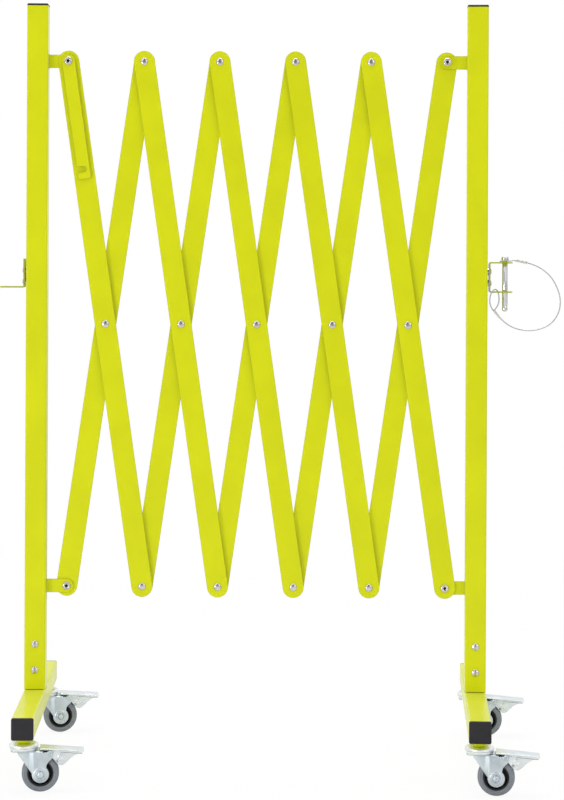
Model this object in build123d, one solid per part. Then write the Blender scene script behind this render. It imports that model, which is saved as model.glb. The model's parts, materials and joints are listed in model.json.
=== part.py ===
from build123d import *
import math
import os

# An expandable safety barrier: two wheeled square-tube posts joined by a folding scissor lattice.
# Millimetres and degrees. +X runs from the left post to the right post, -Y is the front, +Z is up.
# Everything is drawn from the left post's axis on the floor, and moved at the end: the origin is on
# the floor, under the middle of the bounding box of everything but the wire lanyard.

os.makedirs("parts", exist_ok=True)

# Square tube, posts and feet
tube_width = 30.0
tube_wall = 1.8
tube_corner_radius = 2.5
foot_length = 394.0
stem_boss_radius = 11.4
stem_boss_height = 8.0
socket_clearance = 0.2
socket_wall = 2.0
socket_height = 90.0

# Plastic end caps
cap_plate_thickness = 3.0
cap_edge_bevel = 1.0
cap_insert_depth = 14.0
cap_insert_wall = 2.0
cap_insert_clearance = 0.15

# Scissor lattice
unit_count = 5
bar_pivot_span = 757.8
bar_hole_shares = (0, 0.5, 1)
bar_width = 30.0
bar_thickness = 3.0
rest_angle = 8.2
folded_angle = 2.36
open_angle = 36.0
lowest_pivot_rise = 139.3
top_pivot_drop = 78.5
pivot_reach = 44.0
lug_thickness = 3.0
lug_height = 19.0
lug_side_gap = 0.2

# How far each end is turned about its post, with its front castor towards the other end
toe_in = {"left": 2.4, "right": 2.6}

# Rivets that join front and rear bars
rivet_radius = 3.0
rivet_dome_radius = 5.4
rivet_dome_height = 2.2
rivet_tail_radius = 4.8
rivet_tail_height = 1.8
spacer_radius = 7.0
hinge_clearance = 0.06

# Corner pivot screws
screw_radius = 4.0
screw_head_radius = 6.5
screw_head_height = 3.0
screw_socket_radius = 2.3
screw_socket_depth = 2.0
screw_collar_radius = 7.0
nut_radius = 6.5
nut_height = 4.5

# Latch strap
latch_width = 18.4
latch_thickness = 2.5
latch_stand_off = 2.9
latch_hook_clearance = 0.3
latch_end_overrun = 14.0
latch_corner_radius = 3.0
face_gap = 0.2

# Slider shoes and guide slots
slot_side_gap = 0.6
slot_end_gap = 3.0
shoe_height = 36.0
shoe_clearance = 0.4

# Bolts at the post bases
base_bolt_radius = 3.0
base_bolt_heights = (28.0, 65.0)
base_bolt_head_radius = 5.3
base_bolt_head_height = 2.8
base_nut_radius = 5.6
base_nut_height = 5.0
bolt_clearance = 0.2

# The half outline of a domed head, as shares of its radius and height
dome_outline_shares = [(0, 0), (1, 0), (1, 0.3), (0.87, 0.62), (0.55, 0.9), (0, 1)]

# Coupling brackets, both bent from one sheet
bracket_thickness = 2.0
bracket_depth = 25.0
bracket_stand_off = 2.0
bracket_bend_radius = 3.0
bracket_corner_radius = 5.0
bracket_screw_radius = 2.5
bracket_screw_head_radius = 4.4
bracket_screw_head_height = 2.2
bracket_spacer_radius = 5.0
pin_radius = 4.0
pin_hole_clearance = 0.4

coupling_low_height = 671.5
coupling_jaw_height = 43.7
coupling_reach = 35.5
coupling_hole_reach = 25.0
coupling_screw_shares = (0.309, 0.6865)

hook_plate_rise = 4.1
hook_flange_height = 40.5
hook_reach = 39.0
hook_hole_reach = 29.5
hook_screw_shares = (0.215, 0.6075)
lanyard_hole_radius = 2.6
lanyard_hole_reach = 14.9
lanyard_hole_depth = 8.1

# Lock pin
pin_tip_drop = 26.9
pin_tip_bevel = 2.0
pin_head_radius = 5.3
pin_head_height = 5.4
pin_head_bevel = 1.2

# Wire lanyard
wire_radius = 0.9
wire_gap = 0.3
ferrule_radius = 2.1
wire_arc_share = 0.45

# Castors, each drawn with its swivel axis at the origin and its pedal towards +X
castor_height = 73.0
castor_inset = 22.0
castor_trail = 22.4
wheel_radius = 25.0
wheel_width = 19.0
tyre_shoulder = 4.0
core_radius = 17.5
core_rim_thickness = 2.5
core_web_thickness = 5.0
hub_radius = 7.5
axle_radius = 4.0
axle_head_radius = 5.4
axle_head_height = 3.6
axle_boss_radius = 8.6
axle_boss_height = 0.8

stem_radius = 5.0
stem_nut_radius = 8.0
stem_nut_height = 8.0
stem_length = 14.0
race_radius = 20.0
upper_race_height = 4.2
race_bevel = 1.4
race_gap = 0.4
lower_race_radius = 19.0
lower_race_height = 4.6
king_pin_radius = 5.0
king_pin_flange_radius = 7.5
king_pin_flange_height = 1.6

fork_half_width = 14.0
fork_wall = 1.8
fork_nose_half_width = 11.6
fork_bend_reach = 10.4
fork_boss_radius = 11.4
fork_arm_radius = 4.0
fork_plate_reach = 30.5

pedal_pin_reach = 35.0
pedal_pin_height = 52.4
pedal_pin_radius = 2.0
pedal_pin_head_radius = 3.6
pedal_pin_head_height = 1.2
pedal_slope = 4.5
pedal_reach = 80.2
pedal_tread_width = 26.0
pedal_tread_start = 13.6
pedal_tread_thickness = 1.9
pedal_lip_depth = 3.2
pedal_lip_start = 9.0
pedal_cheek_thickness = 1.5
pedal_side_gap = 0.3
pedal_shoe_radius = 2.5
pedal_shoe_gap = 0.45
pedal_shoe_angle = 38.0
cheek_rivet_reach = 15.0
cheek_rivet_drop = 4.0
cheek_rivet_radius = 4.0
cheek_rivet_height = 1.0

# How far each castor is swivelled from its foot
castor_turns = {
    ("left", "front"): 4.5,
    ("left", "rear"): 8.5,
    ("right", "front"): -2.5,
    ("right", "rear"): -2.0,
}

overrun = 2.0

# Worked-out places
half_tube = tube_width / 2
castor_spacing = foot_length - 2 * castor_inset
bore_width = tube_width - 2 * tube_wall
foot_top = castor_height + tube_width

plane_gap = lug_thickness + 2 * lug_side_gap
front_face = -plane_gap / 2 - bar_thickness
rear_face = plane_gap / 2 + bar_thickness
top_pivot_height = foot_top + lowest_pivot_rise + bar_pivot_span * math.cos(math.radians(folded_angle))
post_top = top_pivot_height + top_pivot_drop
pitch = bar_pivot_span * math.sin(math.radians(rest_angle))
folded_pitch = bar_pivot_span * math.sin(math.radians(folded_angle))
bottom_pivot_height = top_pivot_height - bar_pivot_span * math.cos(math.radians(rest_angle))
lowest_pivot_height = top_pivot_height - bar_pivot_span * math.cos(math.radians(folded_angle))
highest_pivot_height = top_pivot_height - bar_pivot_span * math.cos(math.radians(open_angle))
post_spacing = 2 * pivot_reach + unit_count * pitch
latch_back = front_face - latch_stand_off
latch_front = latch_back - latch_thickness

race_top = castor_height - stem_boss_height
race_bottom = race_top - upper_race_height - race_gap
fork_top = race_bottom - lower_race_height

coupling_high_height = coupling_low_height + coupling_jaw_height
coupling_screw_heights = [coupling_low_height + share * coupling_jaw_height for share in coupling_screw_shares]
hook_plate_height = coupling_low_height + hook_plate_rise
hook_top_height = hook_plate_height + hook_flange_height
hook_screw_heights = [hook_plate_height + share * hook_flange_height for share in hook_screw_shares]
pin_tip_height = coupling_low_height - pin_tip_drop


pieces = {}


def keep(name, shapes):
    """Keeps one named piece, or a group of like pieces, until the whole part is moved to its origin."""
    pieces[name] = list(shapes)


def along_y(radius, y_from, y_to, x=0.0, z=0.0):
    """A round bar along Y between two depths."""
    middle = Pos(x, (y_from + y_to) / 2, z)
    return middle * Rot(90, 0, 0) * Cylinder(radius, abs(y_to - y_from))


def hex_along_y(radius, y_from, y_to, x=0.0, z=0.0):
    """A six-sided head or nut along Y, with its corners on the given radius."""
    face = Plane(origin=(x, min(y_from, y_to), z), x_dir=(1, 0, 0), z_dir=(0, 1, 0))
    return extrude(face * RegularPolygon(radius, 6), abs(y_to - y_from))


def along_x(radius, x_from, x_to, y=0.0, z=0.0):
    """A round bar along X between two places."""
    middle = Pos((x_from + x_to) / 2, y, z)
    return middle * Rot(0, 90, 0) * Cylinder(radius, abs(x_to - x_from))


def block(x_from, x_to, y_from, y_to, z_from, z_to):
    """A rectangular block between its two corners."""
    middle = Pos((x_from + x_to) / 2, (y_from + y_to) / 2, (z_from + z_to) / 2)
    return middle * Box(x_to - x_from, y_to - y_from, z_to - z_from)


def tube_section(plane, width, corner, wall):
    """The hollow section of a square tube on a plane."""
    outside = RectangleRounded(width, width, corner)
    inside_width = width - 2 * wall
    inside = RectangleRounded(inside_width, inside_width, max(corner - wall, wall / 4))
    return plane * (outside - inside)


def side_plate(outline, thickness, middle=0.0):
    """A plate that stands in the XZ plane, centred on one depth."""
    face = Plane(origin=(0, middle + thickness / 2, 0), x_dir=(1, 0, 0), z_dir=(0, -1, 0))
    return extrude(face * outline, thickness)


def flat_strip(width, reach, thickness, middle=0.0):
    """A flat bar hanging from its top pivot at the origin, with a round end at each pivot."""
    outline = Pos(0, -reach / 2) * Rot(0, 0, 90) * SlotCenterToCenter(reach, width)
    return side_plate(outline, thickness, middle)


# Posts


def lug(height, start):
    """A flat lug with a round end, reaching from the post to a lattice pivot."""
    neck = block(start, pivot_reach, -lug_thickness / 2, lug_thickness / 2, -height / 2, height / 2)
    plate = neck + along_y(height / 2, -lug_thickness / 2, lug_thickness / 2, pivot_reach)
    hole_radius = screw_radius + hinge_clearance
    return plate - along_y(hole_radius, -lug_thickness, lug_thickness, pivot_reach)


def post(toe, screw_heights):
    """A post turned by its toe-in, with its guide slot and its welded top lug square to the lattice."""
    section = tube_section(Plane.XY.offset(foot_top), tube_width, tube_corner_radius, tube_wall)
    tube = extrude(section, post_top - foot_top)
    for height in screw_heights:
        tube -= along_x(bracket_screw_radius, -half_tube - overrun, 0, 0, height)
    hole_radius = base_bolt_radius + bolt_clearance
    for height in base_bolt_heights:
        tube -= along_y(hole_radius, -tube_width, tube_width, 0, foot_top + height)
    tube = Rot(0, 0, toe) * tube
    slot_half = lug_thickness / 2 + slot_side_gap
    slot_low = lowest_pivot_height - lug_height / 2 - slot_end_gap
    slot_high = highest_pivot_height + lug_height / 2 + slot_end_gap
    tube -= block(0, half_tube + overrun, -slot_half, slot_half, slot_low, slot_high)
    return tube + Pos(0, 0, top_pivot_height) * lug(lug_height, half_tube - tube_wall / 2)


def end_cap():
    """A square plug lying on a tube end, with its plate on top and its hollow insert below."""
    plate = extrude(RectangleRounded(tube_width, tube_width, tube_corner_radius), cap_plate_thickness)
    plate = chamfer(plate.faces().sort_by(Axis.Z)[-1].edges(), cap_edge_bevel)
    insert_width = bore_width - 2 * cap_insert_clearance
    section = tube_section(Plane.XY, insert_width, cap_edge_bevel, cap_insert_wall)
    return plate + extrude(section, -cap_insert_depth)


def end_caps():
    """The plugs of one post: its top and both ends of its foot."""
    foot_middle = castor_height + half_tube
    front = Pos(0, -foot_length / 2, foot_middle) * Rot(90, 0, 0) * end_cap()
    rear = Pos(0, foot_length / 2, foot_middle) * Rot(-90, 0, 0) * end_cap()
    return [Pos(0, 0, post_top) * end_cap(), front, rear]


def foot():
    """A foot tube with a castor boss under each end, and the upright socket that fills the post's end."""
    plane = Plane(origin=(0, -foot_length / 2, castor_height + half_tube), z_dir=(0, 1, 0))
    tube = extrude(tube_section(plane, tube_width, tube_corner_radius, tube_wall), foot_length)
    for side in (-1, 1):
        place = Pos(0, side * castor_spacing / 2, race_top)
        tube += place * extrude(Circle(stem_boss_radius), stem_boss_height + tube_wall / 2)
        stem_hole = Cylinder(stem_radius + bolt_clearance, 2 * stem_boss_height + 2 * tube_wall + overrun)
        tube -= place * stem_hole
    socket_width = bore_width - 2 * socket_clearance
    base = Plane.XY.offset(foot_top - tube_wall / 2)
    section = tube_section(base, socket_width, tube_corner_radius / 2, socket_wall)
    socket = extrude(section, socket_height + tube_wall / 2)
    hole_radius = base_bolt_radius + bolt_clearance
    for height in base_bolt_heights:
        socket -= along_y(hole_radius, -tube_width, tube_width, 0, foot_top + height)
    return tube + socket


def scaled_both(shares, width, height):
    """The points of an outline given as shares of a width and a height."""
    return [(share_x * width, share_z * height) for share_x, share_z in shares]


def domed_head(radius, height):
    """A low round dome standing on the XY plane."""
    points = scaled_both(dome_outline_shares, radius, height)
    return revolve(Plane.XZ * make_face(Polyline(*points, close=True)), Axis.Z)


def base_bolts():
    """The bolts that run through post and socket from front to back, each with its nut."""
    bolts = []
    for height in base_bolt_heights:
        z = foot_top + height
        head = Pos(0, -half_tube, z) * Rot(90, 0, 0) * domed_head(base_bolt_head_radius, base_bolt_head_height)
        shank = along_y(base_bolt_radius, -half_tube, half_tube + base_nut_height + base_bolt_radius / 2, 0, z)
        nut = hex_along_y(base_nut_radius, half_tube, half_tube + base_nut_height, 0, z)
        bolts.append(head + shank + nut)
    return bolts


def bracket_screws(heights):
    """The screws that hold a bracket on the post's outer side, each with its spacer."""
    screws = []
    web_face = half_tube + bracket_stand_off + bracket_thickness
    for height in heights:
        head = domed_head(bracket_screw_head_radius, bracket_screw_head_height)
        head = Pos(-web_face, 0, height) * Rot(0, -90, 0) * head
        shank = along_x(bracket_screw_radius, -web_face, -half_tube + tube_wall + overrun, 0, height)
        spacer = along_x(bracket_spacer_radius, -half_tube - bracket_stand_off, -half_tube, 0, height)
        screws.append(head + shank + spacer)
    return screws


# Coupling brackets, drawn on the -X side of the post


def bent_bracket(points, reach):
    """A sheet bent along a line of points in the XZ plane, with its free corners rounded."""
    line = FilletPolyline(*points, radius=bracket_bend_radius - bracket_thickness / 2)
    face = Plane.XZ * make_face(offset(line, bracket_thickness / 2, side=Side.BOTH))
    sheet = Pos(0, bracket_depth / 2, 0) * extrude(face, bracket_depth)
    tip_plane = Plane.XY.offset(min(point[1] for point in points) - overrun)
    long_side = 2 * reach
    outline = RectangleRounded(long_side, bracket_depth, bracket_corner_radius)
    height = max(point[1] for point in points) - min(point[1] for point in points) + 2 * overrun
    trim = extrude(tip_plane * Pos(-half_tube - reach + long_side / 2, 0) * outline, height)
    return sheet & trim


def hook_bracket():
    """The bent plate on the left post: a screwed flange with a pin plate along its foot."""
    web_x = -half_tube - bracket_stand_off - bracket_thickness / 2
    plate_z = hook_plate_height + bracket_thickness / 2
    tip_x = -half_tube - hook_reach
    bracket = bent_bracket([(tip_x, plate_z), (web_x, plate_z), (web_x, hook_top_height)], hook_reach)
    hole = Cylinder(pin_radius + pin_hole_clearance, 2 * bracket_thickness)
    bracket -= Pos(-half_tube - hook_hole_reach, 0, plate_z) * hole
    for height in hook_screw_heights:
        bracket -= along_x(bracket_screw_radius, web_x - overrun, web_x + overrun, 0, height)
    return bracket


def coupling_bracket():
    """The bent plate on the right post: a screwed web between two pin flanges."""
    web_x = -half_tube - bracket_stand_off - bracket_thickness / 2
    low_z = coupling_low_height + bracket_thickness / 2
    high_z = coupling_high_height - bracket_thickness / 2
    tip_x = -half_tube - coupling_reach
    points = [(tip_x, low_z), (web_x, low_z), (web_x, high_z), (tip_x, high_z)]
    bracket = bent_bracket(points, coupling_reach)
    pin_hole = Cylinder(pin_radius + pin_hole_clearance, 2 * (high_z - low_z))
    bracket -= Pos(-half_tube - coupling_hole_reach, 0, (low_z + high_z) / 2) * pin_hole
    lanyard_hole = Cylinder(lanyard_hole_radius, 2 * bracket_thickness)
    bracket -= Pos(-half_tube - lanyard_hole_reach, -lanyard_hole_depth, low_z) * lanyard_hole
    for height in coupling_screw_heights:
        bracket -= along_x(bracket_screw_radius, web_x - overrun, web_x + overrun, 0, height)
    return bracket


def lock_pin():
    """The round pin through the coupling bracket, with a low head above the lanyard's eye."""
    head_low = coupling_high_height + 2 * (wire_radius + wire_gap)
    head_high = head_low + pin_head_height
    outline = Polyline(
        (0, pin_tip_height),
        (pin_radius - pin_tip_bevel, pin_tip_height),
        (pin_radius, pin_tip_height + pin_tip_bevel),
        (pin_radius, head_low),
        (pin_head_radius, head_low),
        (pin_head_radius, head_high - pin_head_bevel),
        (pin_head_radius - pin_head_bevel, head_high),
        (0, head_high),
        (0, pin_tip_height),
    )
    shape = revolve(Plane.XZ * make_face(outline), Axis.Z)
    return Pos(-half_tube - coupling_hole_reach, 0, 0) * shape


# Lattice


def lattice_bar():
    """One flat bar with three holes, hanging from its top pivot."""
    bar = flat_strip(bar_width, bar_pivot_span, bar_thickness)
    hole_radius = rivet_radius + hinge_clearance
    for share in bar_hole_shares:
        bar -= along_y(hole_radius, -bar_thickness, bar_thickness, 0, -bar_pivot_span * share)
    return bar


def widen_hole(bar, share):
    """Opens one hole of a bar for a corner screw."""
    hole_radius = screw_radius + hinge_clearance
    return bar - along_y(hole_radius, -bar_thickness, bar_thickness, 0, -bar_pivot_span * share)


def front_bar(number):
    """A front bar, which runs down to the right."""
    bar = lattice_bar()
    if number == 1:
        bar = widen_hole(bar, 0)
    if number == unit_count:
        bar = widen_hole(bar, 1)
    x = pivot_reach + (number - 1) * pitch
    y = front_face + bar_thickness / 2
    return Pos(x, y, top_pivot_height) * Rot(0, -rest_angle, 0) * bar


def rear_bar(number):
    """A rear bar, which runs down to the left."""
    bar = lattice_bar()
    if number == 1:
        bar = widen_hole(bar, 1)
    if number == unit_count:
        bar = widen_hole(bar, 0)
    x = pivot_reach + number * pitch
    y = rear_face - bar_thickness / 2
    return Pos(x, y, top_pivot_height) * Rot(0, rest_angle, 0) * bar


def rivet():
    """A rivet along Y with its dome in front, its spacer washer between the bars and its tail behind."""
    shank = along_y(rivet_radius, front_face, rear_face)
    dome = Pos(0, front_face, 0) * Rot(90, 0, 0) * domed_head(rivet_dome_radius, rivet_dome_height)
    washer = along_y(spacer_radius, -plane_gap / 2, plane_gap / 2 - face_gap)
    tail = along_y(rivet_tail_radius, rear_face + face_gap, rear_face + face_gap + rivet_tail_height)
    end = along_y(rivet_radius, rear_face, rear_face + face_gap)
    return shank + dome + washer + tail + end


def rivets(number):
    """The rivets that one front bar carries: top, middle and bottom, where it has them."""
    x = pivot_reach + (number - 1) * pitch
    middle_height = (top_pivot_height + bottom_pivot_height) / 2
    places = [(x + pitch / 2, middle_height)]
    if number > 1:
        places.append((x, top_pivot_height))
    if number < unit_count:
        places.append((x + pitch, bottom_pivot_height))
    return [Pos(place_x, 0, place_z) * rivet() for place_x, place_z in places]


# Corner screws, each drawn along Y through the origin


def socket_head(face):
    """A flat round screw head in front of a face, with its hollow."""
    head = along_y(screw_head_radius, face - screw_head_height, face)
    hollow_floor = face - screw_head_height + screw_socket_depth
    return head - along_y(screw_socket_radius, face - screw_head_height - overrun, hollow_floor)


def hex_nut(face):
    """A nut behind a face."""
    return hex_along_y(nut_radius, face, face + nut_height)


def top_pivot_screw():
    """The shouldered screw of the first front bar and the latch, with its nut behind the lug."""
    collar = along_y(screw_collar_radius, latch_back + face_gap, front_face - face_gap)
    shank = along_y(screw_radius, latch_front - face_gap, lug_thickness / 2 + nut_height)
    return socket_head(latch_front - face_gap) + shank + collar + hex_nut(lug_thickness / 2)


def catch_screw():
    """The long-necked screw that the latch hooks on, with its nut behind the last rear bar."""
    collar = along_y(screw_collar_radius, -lug_thickness / 2 - face_gap, -lug_thickness / 2)
    shank = along_y(screw_radius, latch_front - face_gap, rear_face + face_gap + nut_height)
    return socket_head(latch_front - face_gap) + shank + collar + hex_nut(rear_face + face_gap)


def left_slider_screw():
    """The bottom left pivot screw: lug in front, rear bar behind."""
    shank = along_y(screw_radius, -lug_thickness / 2, rear_face + face_gap + nut_height)
    return socket_head(-lug_thickness / 2) + shank + hex_nut(rear_face + face_gap)


def right_slider_screw():
    """The bottom right pivot screw: front bar in front, lug behind."""
    shank = along_y(screw_radius, front_face - face_gap, lug_thickness / 2 + nut_height)
    return socket_head(front_face - face_gap) + shank + hex_nut(lug_thickness / 2)


# Sliders


def slider_lug():
    """The lug of a slider, from the middle of its shoe to the bottom pivot."""
    return lug(lug_height, 0)


def slider_shoe(toe):
    """The plastic shoe that runs inside the post, turned with it, and holds the lug."""
    width = bore_width - 2 * shoe_clearance
    shoe = extrude(RectangleRounded(width, width, tube_corner_radius), shoe_height / 2, both=True)
    shoe = Rot(0, 0, toe) * shoe
    half = lug_thickness / 2
    return shoe - block(0, width, -half, half, -lug_height / 2, lug_height / 2)


# Latch


def latch_strap():
    """The strap hanging from the top left pivot, with its hook notch open to the left."""
    strap = flat_strip(latch_width, unit_count * folded_pitch, latch_thickness)
    catch_z = -unit_count * folded_pitch
    half = latch_width / 2
    low_z = catch_z - latch_end_overrun
    foot_outline = Pos(0, (catch_z + low_z) / 2 + half / 2) * RectangleRounded(
        latch_width, catch_z - low_z + half, latch_corner_radius
    )
    strap += side_plate(foot_outline, latch_thickness)
    notch_radius = screw_radius + latch_hook_clearance
    depth = latch_thickness
    strap -= along_y(notch_radius, -depth, depth, 0, catch_z)
    strap -= block(-latch_width, 0, -depth, depth, catch_z - notch_radius, catch_z + notch_radius)
    strap -= along_y(screw_radius + hinge_clearance, -depth, depth)
    place = Pos(pivot_reach, latch_back - latch_thickness / 2, top_pivot_height)
    return place * Rot(0, -rest_angle, 0) * strap


# Lanyard, measured from the right post's axis at the underside of the coupling bracket
pin_eye_route = [
    (54.6, -1.1, 46.3),
    (47.5, -4.6, 45.4),
    (40.5, -6.1, 44.9),
    (34.6, -4.6, 44.9),
    (32.6, 0.2, 44.9),
    (34.8, 4.8, 44.9),
    (40.5, 6.1, 44.9),
    (47.4, 4.5, 45.4),
    (54.6, 1.1, 46.3),
]
free_route = [
    (72.0, 0.0, 42.8),
    (83.0, -0.3, 40.1),
    (95.4, -0.6, 34.3),
    (105.6, -0.8, 25.9),
    (113.6, -0.9, 14.1),
    (119.6, -0.8, 0.3),
    (121.9, -0.6, -13.3),
    (120.0, -0.3, -27.6),
    (114.2, -0.1, -39.9),
    (104.6, 0.0, -48.3),
    (92.6, 0.1, -53.1),
    (78.0, 0.1, -54.5),
    (63.2, 0.0, -52.9),
    (50.4, -0.1, -48.9),
    (40.4, -0.3, -42.9),
    (32.0, -1.4, -34.7),
]
flange_eye_route = [
    (23.0, -12.4, -24.9),
    (19.8, -14.4, -20.5),
    (17.9, -15.6, -14.1),
    (17.9, -15.9, -7.3),
    (19.7, -15.6, -0.7),
    (23.0, -14.2, 4.1),
    (26.6, -11.2, 5.1),
    (29.6, -8.4, 2.4),
    (31.0, -7.9, -3.5),
    (31.6, -8.6, -10.1),
    (30.4, -9.8, -16.3),
    (27.6, -11.0, -21.1),
    (24.9, -11.4, -24.9),
]


def wire(route):
    """A wire along a route of points, with an arc at each point as wide as its two runs allow."""
    points = [Vector(*point) for point in route]
    radii = []
    for before, here, after in zip(points, points[1:], points[2:]):
        half_turn = math.radians((here - before).get_angle(after - here)) / 2
        shorter = min((here - before).length, (after - here).length)
        radii.append(wire_arc_share * shorter / math.tan(half_turn))
    print("wire radii", [round(radius, 1) for radius in radii])
    path = FilletPolyline(*points, radius=radii)
    start = Plane(origin=path @ 0, z_dir=path % 0)
    return sweep(start * Circle(wire_radius), path=path)


def ferrule(mouth, end):
    """A crimped sleeve between two wire ends."""
    axis = Vector(*end) - Vector(*mouth)
    plane = Plane(origin=mouth, z_dir=axis)
    return extrude(plane * Circle(ferrule_radius), axis.length)


def middle_of(first, second):
    """The point half way between two points."""
    return tuple((a + b) / 2 for a, b in zip(first, second))


# Castors


def castor_head():
    """The fixed head: threaded stem through the boss and its nut in the foot, upper race and king pin."""
    stem = Pos(0, 0, race_top) * extrude(Circle(stem_radius), stem_boss_height + stem_length)
    nut_base = Plane.XY.offset(castor_height + tube_wall)
    stem += extrude(nut_base * RegularPolygon(stem_nut_radius, 6), stem_nut_height)
    race = extrude(Plane.XY.offset(race_top) * Circle(race_radius), -upper_race_height)
    race = chamfer(race.faces().sort_by(Axis.Z)[-1].edges(), race_bevel)
    pin_low = fork_top - fork_wall - face_gap
    race_low = race_top - upper_race_height
    pin = extrude(Plane.XY.offset(race_low) * Circle(king_pin_radius), pin_low - race_low)
    flange = extrude(Plane.XY.offset(pin_low) * Circle(king_pin_flange_radius), -king_pin_flange_height)
    return stem + race + pin + flange


# The fork's side outline without its round bosses: reach from the swivel axis and height,
# both as shares of the castor's height
fork_outline_shares = [
    (-0.24, 0.7645),
    (-0.1325, 0.755),
    (0.145, 0.355),
    (0.30, 0.27),
    (0.415, 0.395),
    (0.408, 0.50),
    (0.445, 0.565),
    (0.50, 0.61),
    (0.522, 0.65),
    (0.513, 0.725),
    (0.445, 0.745),
    (0.365, 0.745),
    (0.34, 0.7645),
]

# The pedal cheek's outline, reach and drop from the pedal pin, as shares of the castor's height
cheek_outline_shares = [
    (-0.02, 0.06),
    (-0.02, -0.055),
    (0.075, -0.105),
    (0.145, -0.175),
    (0.185, -0.2),
    (0.24, -0.2),
    (0.29, -0.17),
    (0.37, -0.085),
    (0.46, -0.02),
    (0.56, 0.0),
    (0.56, 0.06),
]


def scaled(shares, size, x=0.0, z=0.0):
    """The points of an outline given as shares of one size."""
    return [(x + share_x * size, z + share_z * size) for share_x, share_z in shares]


def fork_plan(inset):
    """The fork's plan: straight sides that draw in towards the leading edge."""
    nose = -race_radius
    tail = pedal_pin_reach + 2 * fork_arm_radius
    half = fork_half_width - inset
    nose_half = fork_nose_half_width - inset
    corners = [
        (nose, -nose_half), (fork_bend_reach, -half), (tail, -half),
        (tail, half), (fork_bend_reach, half), (nose, nose_half), (nose, -nose_half),
    ]
    return make_face(Polyline(*corners))


def fork():
    """The pressed fork: two bent legs under a top plate, with the lower race on it."""
    outline = make_face(Polyline(*scaled(fork_outline_shares, castor_height), close=True))
    outline += Pos(castor_trail, wheel_radius) * Circle(fork_boss_radius)
    outline += Pos(pedal_pin_reach, pedal_pin_height) * Circle(fork_arm_radius)
    body = side_plate(outline, 2 * fork_half_width)
    body &= extrude(fork_plan(0), fork_top)
    body -= extrude(fork_plan(fork_wall), fork_top - fork_wall)
    arm_gap = fork_half_width - fork_wall
    body -= block(fork_plate_reach, 2 * pedal_pin_reach, -arm_gap, arm_gap, 0, castor_height)
    race = extrude(Plane.XY.offset(race_bottom) * Circle(lower_race_radius), fork_top - race_bottom - fork_wall)
    race = chamfer(race.faces().sort_by(Axis.Z)[0].edges(), race_bevel)
    body += race
    for side in (-1, 1):
        face = side * fork_half_width
        body += along_y(axle_boss_radius, face, face + side * axle_boss_height, castor_trail, wheel_radius)
    king_pin_hole = Cylinder(king_pin_radius + hinge_clearance, castor_height)
    axle_hole = along_y(axle_radius, -race_radius, race_radius, castor_trail, wheel_radius)
    pin_hole = along_y(pedal_pin_radius, -race_radius, race_radius, pedal_pin_reach, pedal_pin_height)
    return body - Pos(0, 0, fork_top) * king_pin_hole - axle_hole - pin_hole


def fork_pins():
    """The wheel's axle bolt with its nut, and the pedal's rivet pin."""
    face = fork_half_width + axle_boss_height
    at_axle = {"x": castor_trail, "z": wheel_radius}
    axle = along_y(axle_radius, -face, face + axle_head_height, **at_axle)
    axle += hex_along_y(axle_head_radius, -face - axle_head_height, -face, **at_axle)
    axle += hex_along_y(axle_head_radius, face, face + axle_head_height, **at_axle)
    at_pedal = {"x": pedal_pin_reach, "z": pedal_pin_height}
    pin = along_y(pedal_pin_radius, -fork_half_width, fork_half_width, **at_pedal)
    for side in (-1, 1):
        face = side * fork_half_width
        pin += along_y(pedal_pin_head_radius, face, face + side * pedal_pin_head_height, **at_pedal)
    return [axle, pin]


def wheel_core():
    """The wheel's plastic core: hub, web and rim, turned about the axle."""
    hub_half = fork_half_width - fork_wall - pedal_side_gap
    rim_half = wheel_width / 2 - race_bevel
    web_half = core_web_thickness / 2
    rim_inner = core_radius - core_rim_thickness
    bore = axle_radius + hinge_clearance
    outline = Polyline(
        (bore, -hub_half), (hub_radius, -hub_half), (hub_radius, -web_half), (rim_inner, -web_half),
        (rim_inner, -rim_half), (core_radius, -rim_half), (core_radius, rim_half), (rim_inner, rim_half),
        (rim_inner, web_half), (hub_radius, web_half), (hub_radius, hub_half), (bore, hub_half),
        (bore, -hub_half),
    )
    turned = revolve(Plane.XZ * make_face(outline), Axis.Z)
    return Pos(castor_trail, 0, wheel_radius) * Rot(90, 0, 0) * turned


def tyre():
    """The grey tyre with rounded shoulders, bonded on the core's rim."""
    half = wheel_width / 2
    height = wheel_radius - core_radius
    outline = Pos(core_radius + height / 2, 0) * Rectangle(height, 2 * half)
    outer_corners = outline.vertices().sort_by(Axis.X)[-2:]
    outline = fillet(outer_corners, tyre_shoulder)
    turned = revolve(Plane.XZ * outline, Axis.Z)
    return Pos(castor_trail, 0, wheel_radius) * Rot(90, 0, 0) * turned


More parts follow.
